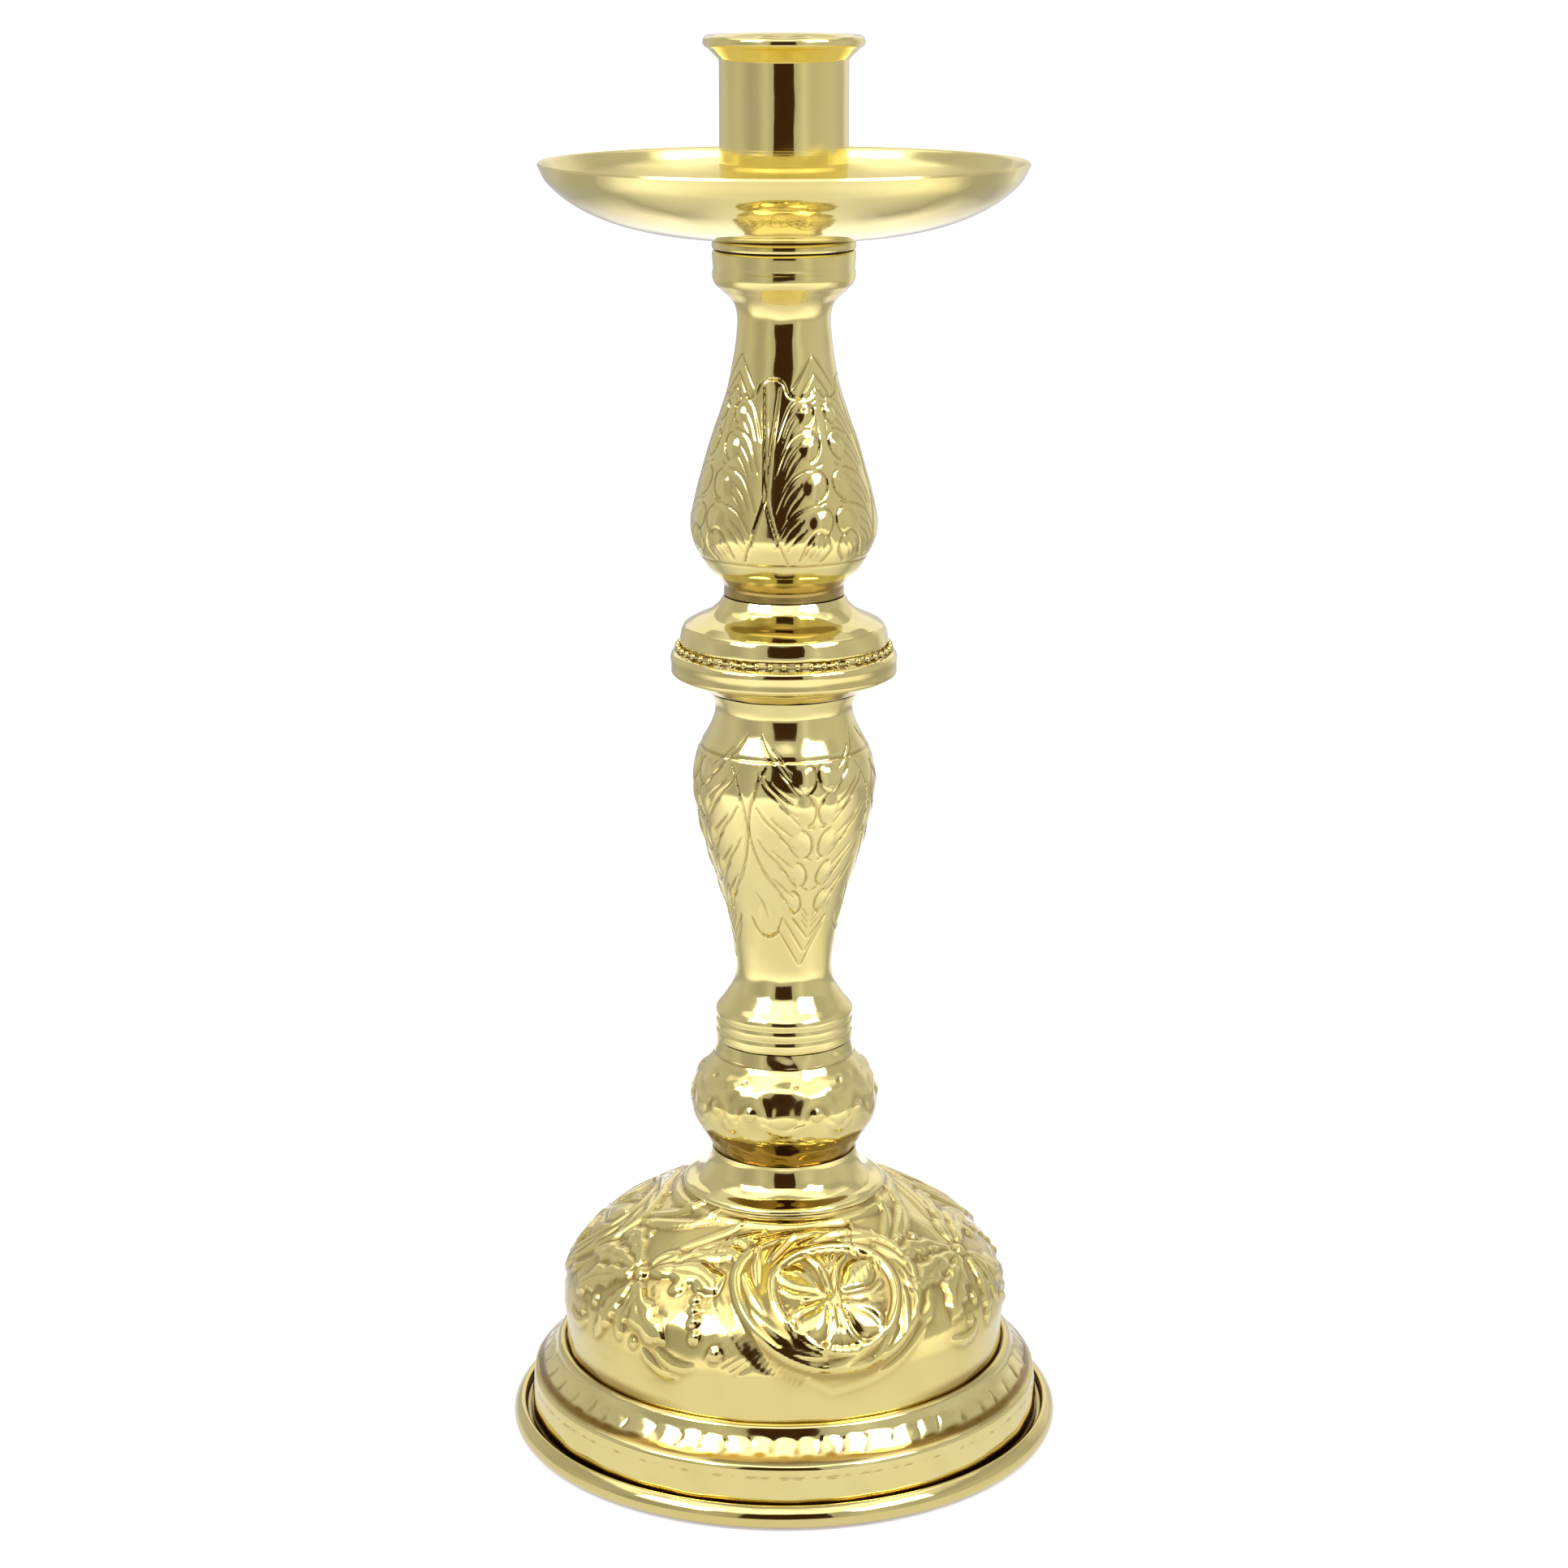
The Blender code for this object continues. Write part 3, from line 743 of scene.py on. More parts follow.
def stippled(surface):
    """A punched ground behind the leaves, fading out towards the plain skirt and the neck."""
    rise = surface.run_at(13)
    v = surface.run[:, None]
    fade = smooth((v - rise) / 6) * smooth((surface.run_at(30.5) - v) / 5)
    u = surface.angle[None, :] * surface.rows[:, 0][:, None]
    grain = np.sin(u * 3.1 + 1.3 * np.sin(v * 2.1)) * np.sin(v * 3.3 + 1.1 * np.sin(u * 1.7))
    surface.height += 0.055 * fade * grain


# degrees and height of one motif of each kind; both are repeated round the dome
LEAF_PLACE = (-49.2, 24.7)
MEDALLION_PLACE = (14.8, 24.4)
DOME_REPEATS = 3


def dome_relief(surface):
    """Vine leaves and medallions by turns, an amber patch above each medallion, painted amber shade round
    the skirt's foot, and a ring under the neck.
    """
    stippled(surface)
    for k in range(DOME_REPEATS):
        turn = 360 / DOME_REPEATS * k
        vine_leaf(surface.patch(LEAF_PLACE[0] + turn, LEAF_PLACE[1]))
        middle = surface.patch(MEDALLION_PLACE[0] + turn, MEDALLION_PLACE[1])
        hatched_band(middle)
        hem(middle)
        clear = np.hypot(middle.u / 21.5, (middle.v - 1) / 17.4)
        surface.height *= 1 - smooth((1.02 - clear) / 0.05)
        medallion(middle)
        # deeper amber above each medallion
        surface.amber_patch(3 + turn, 30.6, 13, 6, 0.5)
    # painted amber shade round the skirt's foot, where it meets the plinth
    for degrees in (-50, 55, 140, 220):
        surface.amber_patch(degrees, 1, 24, 2.6, 0.75)
    surface.ring(34.4, 0.9, -0.4)
    surface.ring(35.5, 0.5, 0.25)
    surface.height = spread(surface.height, 1)


dome_outline = curve([
    (48.1, 0), (47.95, 2), (48, 4.5), (48.3, 7.5), (48.5, 11), (46.7, 17.8), (42, 23.2), (34.7, 28.1),
    (25.3, 33.2), (21.6, 36),
], 14)
turned("dome", dome_outline, lining(dome_outline, 46.7, 4.6), 740, satin_brass, spacing=0.5,
       relief=dome_relief, waves=(0.05, 16))


# ---- knop and neck

JOINT_LIFT = 1.6
neck_outline = [(21.9, -0.35), (21.95, 0.1), (21.6, 0.6)]
neck_outline += curve([
    (20.9, 1), (19, 1.9), (17.4, 3.4), (16.4, 5.2), (15.9, 6.8), (15.7, 6.5 + JOINT_LIFT),
], 8)
turned("neck_collar", neck_outline, lining(neck_outline, 19.8, 4.6, every=2.0), STEM, bright_brass,
       spacing=0.35, waves=(0.05, 11))

KNOP_BOSSES = (-78, -47, -21.5, 20.5, 52, 84, 117, 150, 183, 216, 249)
KNOP_RADIUS = 20.2


def knop_relief(surface):
    """Small worn bosses, each under an arch, and an engraved line near the top."""
    surface.ring(23.3, 0.4, 0.16)
    gaps = np.diff(KNOP_BOSSES + (KNOP_BOSSES[0] + 360,))
    for degrees, gap in zip(KNOP_BOSSES, gaps):
        patch = surface.patch(degrees, 14.8)
        patch.swell(0, 0, 1.6, 1.7, 0.5)
        patch.ridge([(-4, -2.6), (-3.2, 1.4), (0, 3.8), (3.2, 1.6), (4.2, -2)], 1.8, 0.1, 0.5)
        reach = math.radians(gap) * KNOP_RADIUS
        patch.ridge([(2.8, -2.4), (reach / 2, -4), (reach - 2.8, -2.4)], 1.2, 0.14, 0.3)
        patch.swell(reach * 0.5, -0.4, reach * 0.24, 3.2, 0.22)
        patch.swell(reach * 0.42, 5.4, reach * 0.3, 2.2, 0.2)
        patch.swell(reach * 0.6, 6.4, 1, 0.8, -0.2)


knop_outline = curve([
    (15.3, JOINT_LIFT), (16.2, 3.4), (18, 6), (19.6, 8.8), (20.3, 13.4), (19, 18.4), (15.3, 23),
    (14.45, 26.3),
], 12)
# amber here is painted shade and painted reflection of brass round the knop's lower neck
turned("knop", knop_outline, lining(knop_outline, 14.2, 4.6), 300, chased_brass, spacing=0.35,
       relief=knop_relief, amber=[(0, 8, 0.9)], waves=(0.09, 9))


# ---- balusters


class Motif:
    """Draws on a patch at (degrees from its middle, height), mirrored where side is -1."""

    def __init__(self, surface, degrees, z, side=1):
        self.surface, self.side = surface, side
        self.patch, self.start = surface.patch(degrees, z), surface.run_at(z)

    def spots(self, points):
        """The patch's own (u, v) of (degrees, height) points."""
        made = []
        for degrees, z in points:
            radius = float(np.interp(z, self.surface.rows[:, 1], self.surface.rows[:, 0]))
            made.append((self.side * math.radians(degrees) * radius, self.surface.run_at(z) - self.start))
        return made

    def line(self, points, width, depth, taper):
        self.patch.line(self.spots(points), width, depth, taper)

    def swell(self, place, half_wide, half_high, rise):
        self.patch.swell(*self.spots([place])[0], half_wide, half_high, rise)


def scallops(leaf, lobes, rise):
    """The round lobes of a leaf's edge: a raised pillow inside an engraved arc. lobes holds each one's
    (degrees, height, depth of the arc, half its height)."""
    for degrees, z, deep, high in lobes:
        (x, y), = leaf.spots([(degrees, z)])
        leaf.patch.swell(x - leaf.side * deep * 1.15, y, deep * 1.15, high * 0.95, rise)
        arc = [(x - leaf.side * deep * (1 - math.cos(a)), y + high * math.sin(a))
               for a in np.radians(np.linspace(-84, 84, 13))]
        leaf.patch.line(arc, 0.42, 0.26, 0.1, 1)


def vein(leaf, points, width, depth, shift, rise):
    """An engraved line with a faint ridge beside it, that far higher up."""
    edge = leaf.spots(points)
    leaf.patch.line(edge, width, depth[0], depth[1])
    leaf.patch.ridge([(x, y + shift) for x, y in edge], 0.6, rise, 0.4)


def chevrons(spear, tips, side_deg, drop):
    """Nested pointed strokes. tips holds each one's height; each next one is narrower."""
    for k, z in enumerate(tips):
        reach = side_deg * (1 - 0.27 * k)
        fall = drop * (1 - 0.3 * k)
        for side in (-1, 1):
            spear.line([(0, z), (side * reach, z - fall)], 0.5, 0.22, 0.25)


REPEATS = 4
# degrees of the first leaf, and height of the patch's middle
UPPER_LEAF, UPPER_MIDDLE = -12, 20
LOWER_LEAF, LOWER_MIDDLE = -23.5, 45
UPPER_LOBES = ((39, 39.2, 1.5, 2.2), (40, 32.7, 1.9, 2.9), (42.5, 25, 2.4, 3.1), (44, 17.8, 2.5, 2.9))
LOWER_LOBES = ((44.2, 61.4, 2.3, 3), (44, 54.8, 2.2, 3.4), (42.5, 47.3, 2.1, 3.3),
               (40.5, 40.2, 1.9, 3), (38, 33.6, 1.8, 2.8))


def upper_half_leaf(leaf):
    """One side of an upright leaf: lobes, midrib, top edge, veins and the curl at the foot."""
    scallops(leaf, UPPER_LOBES, 0.42)
    leaf.line([(-8, 44.5), (-4, 36.6), (-1.6, 30), (0, 23.2), (5.5, 17), (14.5, 9.4)], 0.5, 0.28, 0.2)
    leaf.line([(0, 46.3), (5, 46.2), (11.5, 45.3), (16.5, 43), (24, 42.4), (34, 42.2)], 0.42, 0.24, 0.2)
    for _, z, _, _ in UPPER_LOBES:
        edge = [(6.5, z - 5.2), (10.6, z - 1.8), (18, z + 1.8), (27, z + 3.3), (33.5, z + 3.6)]
        vein(leaf, edge, 0.5, (0.15, 0.3), -0.75, 0.05)
        leaf.line([(11, z - 5), (16, z - 1.8), (24.5, z + 0.8)], 0.36, 0.16, 0.6)
        leaf.line([(13.5, z - 6.2), (18.5, z - 3.4), (26.5, z - 1)], 0.36, 0.16, 0.6)
    leaf.swell((32.5, 12.4), 2.7, 2.9, 0.4)
    leaf.line([(22, 10), (27.5, 14.4), (33, 15.9), (40.5, 14.6), (42, 12), (36, 9.4)], 0.42, 0.24, 0.1)
    for start in (24, 28, 32):
        leaf.line([(start, 10.4), (start + 6, 14)], 0.36, 0.18, 0.5)


def upper_relief(surface):
    """Four upright leaves with scalloped edges, pointed strokes between them, and an engraved line."""
    surface.ring(8.7, 0.35, 0.16)
    for k in range(REPEATS):
        for side in (-1, 1):
            upper_half_leaf(Motif(surface, UPPER_LEAF + 90 * k, UPPER_MIDDLE, side))
        spear = Motif(surface, UPPER_LEAF + 45.5 + 90 * k, UPPER_MIDDLE)
        chevrons(spear, (51, 47.2, 44.6), 25, 6.6)
        for side in (-1, 1):
            for step in range(4):
                z = 40.2 + 1.1 * step
                spear.line([(side * 2, z + 0.7), (side * 8, z)], 0.35, 0.18, 0.3)
            spear.line([(side * 5, 38.6), (side * 3.6, 34.6)], 0.35, 0.14, 0.3)
            for z in (28.9, 21.4):
                spear.line([(side * 10, z), (side * 5.5, z + 0.5)], 0.35, 0.2, 0.3)


def lower_half_leaf(leaf):
    """One side of a hanging leaf: lobes, midrib and veins."""
    scallops(leaf, LOWER_LOBES, 0.3)
    rib = [(12.5, 63.8), (7, 60.6), (2.8, 56), (0.6, 51.4), (-2.4, 46), (-7, 42), (-17, 37.6)]
    leaf.line(rib, 0.48, 0.26, 0.2)
    for _, z, _, _ in LOWER_LOBES:
        edge = [(6, z + 8.2), (12, z + 5.2), (20, z + 2.6), (31, z - 2.2), (34, z - 3.2)]
        vein(leaf, edge, 0.48, (0.2, 0.4), 0.75, 0.1)
        leaf.line([(14, z + 6.2), (21, z + 4), (31, z + 1.4)], 0.38, 0.2, 0.6)
        leaf.line([(19, z + 2), (25, z + 0.4), (32.5, z - 1.2)], 0.38, 0.18, 0.6)


def lower_relief(surface):
    """Four hanging leaves, the same work upside down, under a double engraved line."""
    surface.ring(65.2, 0.4, 0.26)
    surface.ring(64.3, 0.35, -0.1)
    for k in range(REPEATS):
        for side in (-1, 1):
            lower_half_leaf(Motif(surface, LOWER_LEAF + 90 * k, LOWER_MIDDLE, side))
        tip = Motif(surface, LOWER_LEAF + 90 * k, LOWER_MIDDLE)
        tip.line([(-9, 29.4), (-4, 26.6), (6, 25.4), (16, 26.4), (21.5, 29.8)], 0.45, 0.28, 0.1)
        tip.swell((6, 29.6), 2.5, 4, 0.25)
        tip.line([(-1, 36), (5, 33), (9, 29.6)], 0.38, 0.16, 0.5)
        spear = Motif(surface, LOWER_LEAF + 45 + 90 * k, LOWER_MIDDLE)
        for apex, z, reach, climb in ((-4, 19, 24, 8.5), (0.5, 22, 22, 7.6), (4.3, 25, 18, 4.8)):
            for side in (-1, 1):
                spear.line([(apex + side * 1.5, z), (apex + side * reach, z + climb)], 0.46, 0.22, 0.25)
        for side in (-1, 1):
            for step in range(3):
                z = 27.2 + 1.4 * step
                spear.line([(4 + side * 2, z), (4 + side * 9, z + 2.2)], 0.35, 0.16, 0.3)
            for z in (51.2, 43.9, 36.8):
                spear.line([(side * 7, z + 0.3), (side * 1.6, z - 0.5)], 0.36, 0.22, 0.3)


lower_collar = softened([
    (14.6, 0), (14.8, 0.2), (14.8, 2.1), (14.4, 2.6), (14.8, 3.1), (14.8, 4.5), (14.4, 5), (14.8, 5.5),
    (14.8, 6.6), (14.3, 7.4), (13.2, 8.7),
], 0.4)
lower_body = curve([
    (13.2, 8.7), (10.9, 12.5), (10.5, 17.5), (12.3, 28.5), (17.7, 46.4), (19.5, 57.2), (18.4, 63.5),
    (15.1, 70.4), (14.6, 73.6), (15.9, 76.7),
], 12)
lower_outline = lower_collar[:-1] + lower_body
turned("lower_baluster", lower_outline, lining(lower_outline, 12.4, 4.6), 400, chased_brass, spacing=0.36,
       relief=lower_relief, waves=(0.05, 12))

upper_body = curve([
    (12.6, 0), (12.8, 2.3), (16.3, 6.2), (19.3, 12.4), (19.3, 17.4), (16, 30.3), (11.7, 43.5),
    (9.65, 56.3), (10.4, 60.6), (13, 63.4),
], 12)
upper_collar = softened([
    (13, 63.4), (14.3, 64.6), (14.75, 65.8), (14.8, 67.3), (14.5, 67.65), (14.62, 68), (14.85, 71),
    (14.5, 71.5), (13.4, 71.5),
], 0.35)
upper_outline = upper_body[:-1] + upper_collar
upper_inside = [(12.8, 71.4), (12.8, 66.2), (4.6, 66.2), (4.6, 65)]
upper_inside += [spot for spot in lining(upper_outline[:-1], 11.2, 4.6)[2:] if spot[1] < 64.0]
# amber here is painted shade and painted reflection of brass round the bottom neck
turned("upper_baluster", upper_outline, upper_inside, 400, chased_brass, spacing=0.36,
       relief=upper_relief, amber=[(-1, 4.2, 0.75)], waves=(0.04, 12))


# ---- waist

flange_outline = softened([
    (15.8, -0.2), (17.6, 0.6), (19.3, 1.9), (22.6, 2.8), (23.9, 3.7), (23.85, 5.4), (24, 7.2), (23.6, 8),
    (22.9, 8.3),
], 0.45)
flange_inside = [(22.9, 7.3), (22, 6), (15.8, 2.6), (4.6, 2), (4.6, 1), (14.6, 0.9), (14.8, 0)]
# amber here is painted shade at the joint under the flange, and faintly on its side
turned("flange", flange_outline, flange_inside, STEM, bright_brass, spacing=0.3,
       amber=[(-1, 2.4, 0.5), (2, 7.2, 0.14)], waves=(0.04, 12))

drum_outline = softened([
    (21, -1), (21.6, -1), (21.9, -0.6), (21.9, 0.5), (21.6, 2), (21.1, 3.1), (20.6, 3.4),
], 0.3)[:-1]
drum_outline += curve([(20.6, 3.4), (18.8, 4.4), (16.3, 5.5), (14, 7.4), (12.7, 9.4)], 8)
turned("drum_cap", drum_outline, lining(drum_outline, 20.2, 4.6, every=2.5), STEM, bright_brass,
       spacing=0.3, waves=(0.05, 10))

BEADS = 50
BEAD_RADIUS = 0.75
BEAD_CIRCLE = 22.3
WIRE_RADIUS = 0.35


def ball(centre, radius):
    """Points and faces of a small sphere whose poles are left as flat caps."""
    around, rings = 14, 9
    rise = np.linspace(-np.pi / 2 + 0.12, np.pi / 2 - 0.12, rings)[:, None]
    turn = np.arange(around) * 2 * np.pi / around + np.pi / 2
    return round_axis(np.cos(rise), np.sin(rise), turn) * radius + centre, capped_faces(rings, around)


def bead_ring():
    """A circle of beads on a thin wire."""
    level = base_of("bead_ring") + BEAD_RADIUS
    verts, faces = [], []
    for k in range(BEADS):
        a = 2 * math.pi * k / BEADS
        centre = (BEAD_CIRCLE * math.sin(a), -BEAD_CIRCLE * math.cos(a), level)
        points, quads = ball(centre, BEAD_RADIUS)
        faces += [[i + k * len(points) for i in quad] for quad in quads]
        verts.append(points)
    around, thick = 200, 8
    start = BEADS * len(points)
    tube = np.arange(thick)[:, None] * 2 * np.pi / thick
    r, z = BEAD_CIRCLE + WIRE_RADIUS * np.cos(tube), level + WIRE_RADIUS * np.sin(tube)
    verts.append(round_axis(r, z, np.arange(around) * 2 * np.pi / around))
    faces += [[i + start for i in quad] for quad in ring_faces(thick, around, True)]
    verts = np.vstack(verts)
    worn = {"amber": np.full(len(verts), 0.3)}
    mesh_object("bead_ring", verts, faces, "stand", bright_brass, sharp=None, worn=worn)


bead_ring()


# ---- top

boss_outline = softened([
    (7.5, -0.45), (14.75, -0.45), (14.9, 0.2), (14.7, 1.2), (14.2, 1.6), (7.5, 1.6),
], 0.15)
# amber here is a faint painted shade on the boss under the pan
turned("pan_boss", boss_outline, [], STEM, bright_brass, body="candle_socket", spacing=0.3,
       amber=[(-1, 3, 0.12)])

pan_outline = [(7.6, 0)]
pan_outline += curve([(17, 0), (27.4, 1.2), (36.5, 3.6), (43.6, 7.1), (48.4, 11.2), (50.2, 14.6)], 12)
pan_outline += [(50.15, 15), (49.8, 15.15), (49.4, 14.95)]
pan_outline += curve([(49.2, 14.6), (47.5, 11.7), (42.9, 8), (36.1, 4.6), (27.3, 2.2), (17, 1)], 12)
pan_outline += [(7.6, 1)]
turned("drip_pan", pan_outline, [], 360, pan_brass, body="drip_pan", spacing=0.6)

socket_outline = softened([(13.05, 0), (13.05, 0.6), (13.05, 12.5), (13.2, 13), (13.2, 33.7)], 0.3)[:-1]
socket_outline += softened([(13.2, 33.7), (13.25, 34.1), (15.5, 36.3)], 0.4)[:-1]
socket_outline += curve([(15.5, 36.3), (16.35, 36.9), (16.5, 37.7), (16.2, 38.5), (15.6, 38.9)], 4)
socket_inside = [(15.2, 38.8), (13.6, 38.5), (12.9, 37.5), (11.75, 35.4), (11.6, 35.1), (11.6, 30),
                 (11.6, 24), (11.6, 16), (11.6, 8.6), (7.3, 8.6), (7.3, 7.1), (11.6, 7.1), (11.6, 0)]
turned("candle_socket", socket_outline, socket_inside, WIDE, bright_brass, body="candle_socket",
       spacing=0.35)


# ---- rod and felt

THREAD_PITCH = 1.25
THREAD_DEPTH = 0.6


ROD_RADIUS = 4.0
THREAD_LOW = 16
THREAD_HIGH = 30


def tie_rod():
    """The steel rod, threaded at both ends."""
    low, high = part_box("tie_rod")
    bottom, top = low.z / MM, high.z / MM
    fine = THREAD_PITCH / 8
    plain = (bottom + THREAD_LOW, top - THREAD_HIGH)
    z = np.r_[np.arange(bottom, plain[0], fine), np.linspace(*plain, 24)]
    z = np.r_[z, np.arange(plain[1], top, fine)[1:], top][:, None]
    columns = 40
    turn = np.arange(columns) * 2 * np.pi / columns
    wave = (z / THREAD_PITCH - turn / (2 * np.pi)) % 1.0
    depth = THREAD_DEPTH * np.abs(2 * wave - 1)
    inside = smooth((z - plain[0]) / 1.5) * smooth((plain[1] - z) / 1.5)
    tip = np.maximum(smooth((bottom + 1.2 - z) / 1.2), smooth((z - top + 1.2) / 1.2))
    r = ROD_RADIUS - (depth * (1 - inside) + 0.4 * tip * (1 - depth / THREAD_DEPTH))
    mesh_object("tie_rod", round_axis(r, z, turn), capped_faces(len(z), columns), "stand",
                steel, sharp=math.radians(35))


tie_rod()


def felt_pad():
    """The felt disc, a little uneven, with a soft cut edge."""
    low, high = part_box("felt_pad")
    outer, thick = high.x / MM, (high.z - low.z) / MM
    under = [(r, 0.0) for r in np.linspace(1.5, outer - 0.5, 22)]
    over = [(r, thick) for r in np.linspace(outer - 0.4, 1.5, 22)]
    rows = np.array(under + [(outer - 0.05, 0.3), (outer, 0.75), (outer - 0.1, thick - 0.3)] + over)
    reach, level = rows[:, [0]], rows[:, [1]]
    columns = 240
    turn = np.arange(columns) * 2 * np.pi / columns
    fuzz = np.random.default_rng(7).uniform(-1, 1, (len(rows), columns))
    edge = smooth((reach - outer + 1.0) / 0.8)
    r = reach + 0.12 * fuzz * edge
    wave = np.sin(reach * 0.9 + 2 * np.sin(3 * turn)) * np.cos(5 * turn + reach * 0.3)
    up = np.where(level < thick / 2, 1.0, -1.0)
    z = level + up * (0.05 + 0.04 * wave) * (1 - edge) + low.z / MM
    mesh_object("felt_pad", round_axis(r, z, turn), capped_faces(len(rows), columns), "stand", felt)


felt_pad()


# ---- hidden parts that keep their CAD shape

STEEL_NODES = ("bottom_washer", "bottom_nut", "stem_washer", "stem_nut", "neck_disc", "knop_disc",
               "flange_disc", "waist_disc")
KEPT = {"base_weight": iron, "socket_bush": bright_brass} | dict.fromkeys(STEEL_NODES, steel)
for name, finish in KEPT.items():
    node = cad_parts[name]
    node.data.materials.clear()
    node.data.materials.append(finish)


# ---- studio


def sheet(name, corners, finish):
    """One flat face, its corners in metres."""
    mesh = bpy.data.meshes.new(name)
    mesh.from_pydata(corners, [], [(0, 1, 2, 3)])
    mesh.materials.append(finish)
    obj = bpy.data.objects.new(name, mesh)
    bpy.context.scene.collection.objects.link(obj)
    return obj


def dark_card(half, y, low, high):
    """A dark upright card that only shows in reflections."""
    made, graph = material("dark_card")
    graph.end(graph.add("Emission", Color=(0.045, 0.02, 0.008)))
    card = sheet("dark_card", [(-half, y, low), (half, y, low), (half, y, high), (-half, y, high)], made)
    card.visible_camera = False
    card.visible_diffuse = False
    card.visible_shadow = False


def grey(level):
    """A neutral light level, a little cool so that brass keeps its green-gold cast."""
    return (level, level * 0.995, level * 1.06)


HORIZON = (
    # share of a full turn from the back, round by the left: level of the room's walls
    (0.0, 0.62), (0.06, 0.5), (0.12, 0.6), (0.2, 0.52), (0.26, 0.58), (0.33, 0.42), (0.37, 0.46),
    (0.41, 0.62), (0.44, 0.5), (0.56, 0.5), (0.6, 0.72), (0.64, 0.56), (0.7, 0.6),
    (0.76, 0.62), (0.84, 0.52), (0.9, 0.85), (0.95, 0.7), (1.0, 0.62),
)


def bearing(graph, x, y):
    """The angle round the object, in radians: 0 in front, positive towards the right."""
    return graph.math("ARCTAN2", x, graph.math("MULTIPLY", y, -1.0))


def walls(graph, x, y):
    """The room's walls, as a level that changes with the direction from the object."""
    share = graph.ranged(bearing(graph, x, y), -math.pi, math.pi, 0, 1)
    return graph.ramp(share, [(place, grey(level)) for place, level in HORIZON])


FLOOR_HALF = 40
POOL_CENTRE = (0, -0.1, 0)
POOL = (
    # metres from the centre, level of the light on the floor
    (0.0, 0.84), (0.12, 0.88), (0.24, 1.12), (0.36, 1.32), (0.48, 1.28), (0.6, 0.7), (0.7, 0.54),
    (1.0, 0.5),
)


def floor():
    """A pale floor. Reflections see a pool of light on it round the object, dim shade behind on both
    sides, a bright strip straight behind, and the walls' levels further off."""
    stops = [(0.3, (0.88, 0.88, 0.88)), (0.7, (0.9, 0.9, 0.9))]
    made, graph, shader, _ = speckled("pale_floor", 3, 2, stops, Roughness=0.6, Metallic=0.0,
                                      Specular_IOR_Level=0.0, Emission_Color=(1, 1, 1),
                                      Emission_Strength=0.42)
    away = graph.add("VectorMath", graph.place(), POOL_CENTRE)
    away.operation = "DISTANCE"
    away = away.outputs["Value"]
    x, y, _ = graph.split(graph.place())
    aside = graph.math("ABSOLUTE", x)
    level = graph.ramp(away, [(reach, grey(light)) for reach, light in POOL])
    shade = graph.math("MULTIPLY", graph.ranged(y, -0.08, 0.14, 0, 1), graph.ranged(aside, 0.03, 0.1, 0, 1))
    level = graph.mixed(shade, level, grey(0.45))
    level = graph.mixed(graph.ranged(away, 0.6, 1.0, 0, 1), level, walls(graph, x, y))
    strip = graph.math("MULTIPLY", graph.ranged(y, 0.15, 0.25, 0, 1), graph.ranged(y, 0.7, 1.0, 1, 0))
    strip = graph.math("MULTIPLY", strip, graph.ranged(aside, 0.1, 0.25, 1, 0))
    glow = graph.add("Emission", Color=graph.mixed(strip, level, grey(1.2)))
    mirrored = graph.add("LightPath").outputs["Is Glossy Ray"]
    graph.end(graph.add("MixShader", mirrored, shader.outputs[0], glow.outputs[0]))
    corners = [(x * FLOOR_HALF, y * FLOOR_HALF, 0) for x, y in ((-1, -1), (1, -1), (1, 1), (-1, 1))]
    sheet("floor", corners, made)


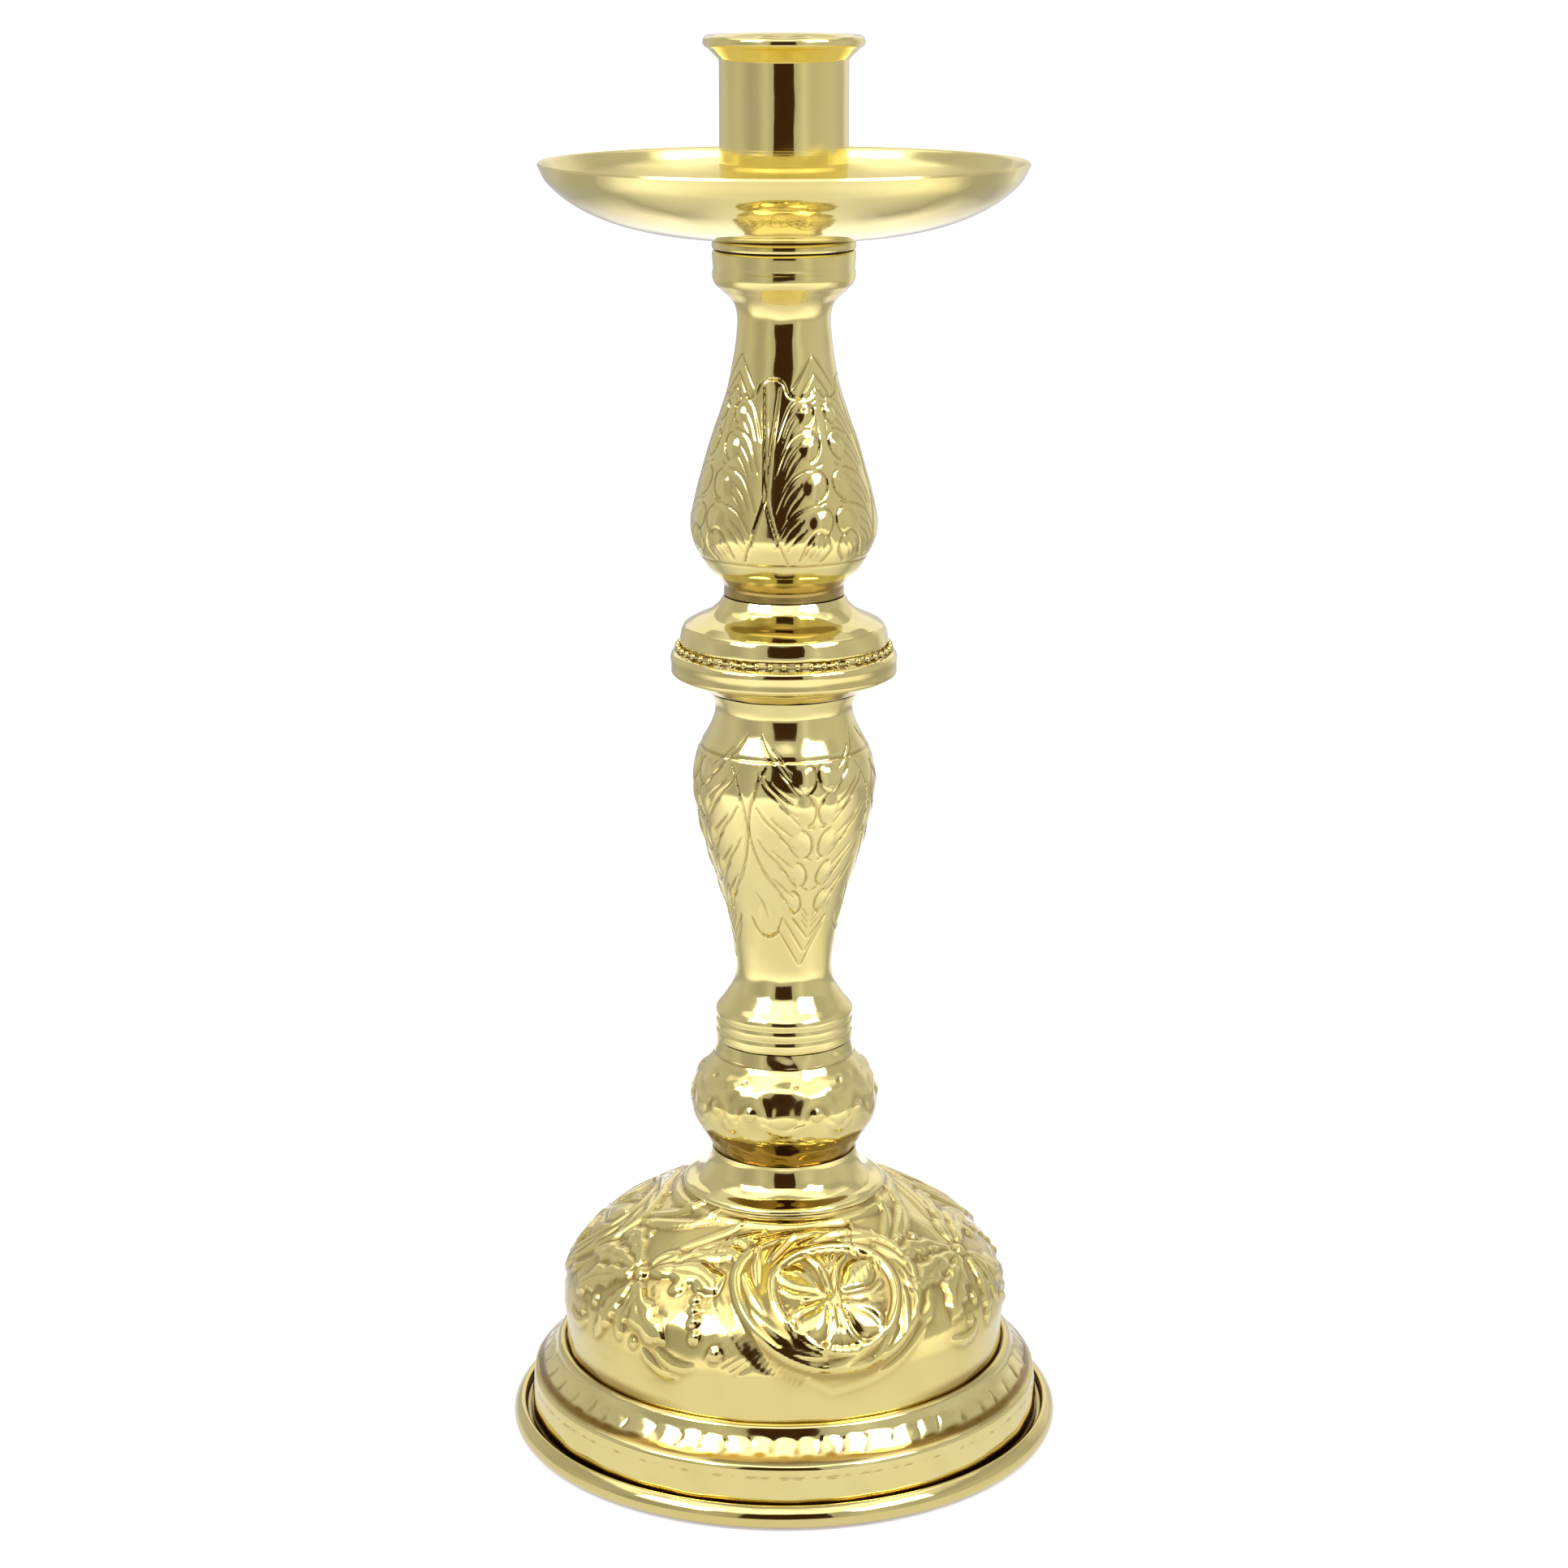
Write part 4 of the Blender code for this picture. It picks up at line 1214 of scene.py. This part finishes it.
def studio():
    """A pale room with broad bright panels overhead, a lighter sky behind, and a dark shape where the
    camera stands. The z of a direction is the sine of its elevation."""
    world = bpy.data.worlds.new("studio")
    bpy.context.scene.world = world
    world.use_nodes = True
    graph = Graph(world.node_tree)
    graph.nodes.clear()
    out = graph.add("OutputWorld")
    direction = graph.add("TexCoord").outputs["Generated"]
    x, y, z = graph.split(direction)
    turn = bearing(graph, x, y)
    ceiling = graph.mixed(graph.noise(direction, 2.2, 2), grey(0.4), grey(0.62))
    sky = graph.mixed(graph.ranged(z, 0.42, 0.52, 0, 1), walls(graph, x, y), ceiling)
    front = graph.math("COMPARE", turn, 0, 2.65)
    rear = graph.math("SUBTRACT", graph.ranged(z, 0.1, 0.25, 0, 1), front)
    sky = graph.mixed(graph.math("MAXIMUM", rear, 0.0), sky, grey(1.0))
    patchy = graph.noise(direction, 2.3, 1)
    panels = graph.ramp(patchy, [(0.36, grey(0.85)), (0.48, grey(1.5)), (0.7, grey(2.1))])
    panels = graph.mixed(graph.math("COMPARE", turn, 0, 2.1), grey(0.75), panels)
    band = graph.math("MULTIPLY", graph.ranged(z, 0.66, 0.74, 0, 1), graph.ranged(z, 0.93, 0.96, 1, 0))
    sky = graph.mixed(band, sky, panels)
    seen = graph.add("LightPath").outputs["Is Camera Ray"]
    shine = graph.add("Background", Color=graph.mixed(seen, sky, (0.97, 0.97, 0.97)))
    graph.feed(shine.outputs[0], out.inputs["Surface"])
    dark_card(0.31, -0.95, 0.07, 0.9)


LAMP_SIZE = (0.8, 0.5)
LAMP_WATTS = 9
LAMP_AIM = (0, 0, 0.12)
LAMP_PLACES = {"key_left": (-0.9, -0.7, 1.15), "key_right": (0.9, -0.7, 1.15)}


def soft_light(name, place):
    lamp = bpy.data.lights.new(name, "AREA")
    lamp.shape = "RECTANGLE"
    lamp.size, lamp.size_y = LAMP_SIZE
    lamp.energy = LAMP_WATTS
    obj = bpy.data.objects.new(name, lamp)
    obj.location = place
    obj.rotation_euler = (Vector(LAMP_AIM) - Vector(place)).to_track_quat("-Z", "Y").to_euler()
    bpy.context.scene.collection.objects.link(obj)
    obj.visible_camera = False


CAMERA_PLACE = (0, -0.691, 0.321)
CAMERA_TILT = 14.35
LENS = 76.9
SENSOR = 36

floor()
studio()
for name, place in LAMP_PLACES.items():
    soft_light(name, place)

camera_data = bpy.data.cameras.new("camera")
camera_data.lens = LENS
camera_data.sensor_width = SENSOR
camera = bpy.data.objects.new("camera", camera_data)
camera.location = CAMERA_PLACE
camera.rotation_euler = (math.radians(90 - CAMERA_TILT), 0, 0)
bpy.context.scene.collection.objects.link(camera)
bpy.context.scene.camera = camera
bpy.context.scene.view_settings.view_transform = "Standard"
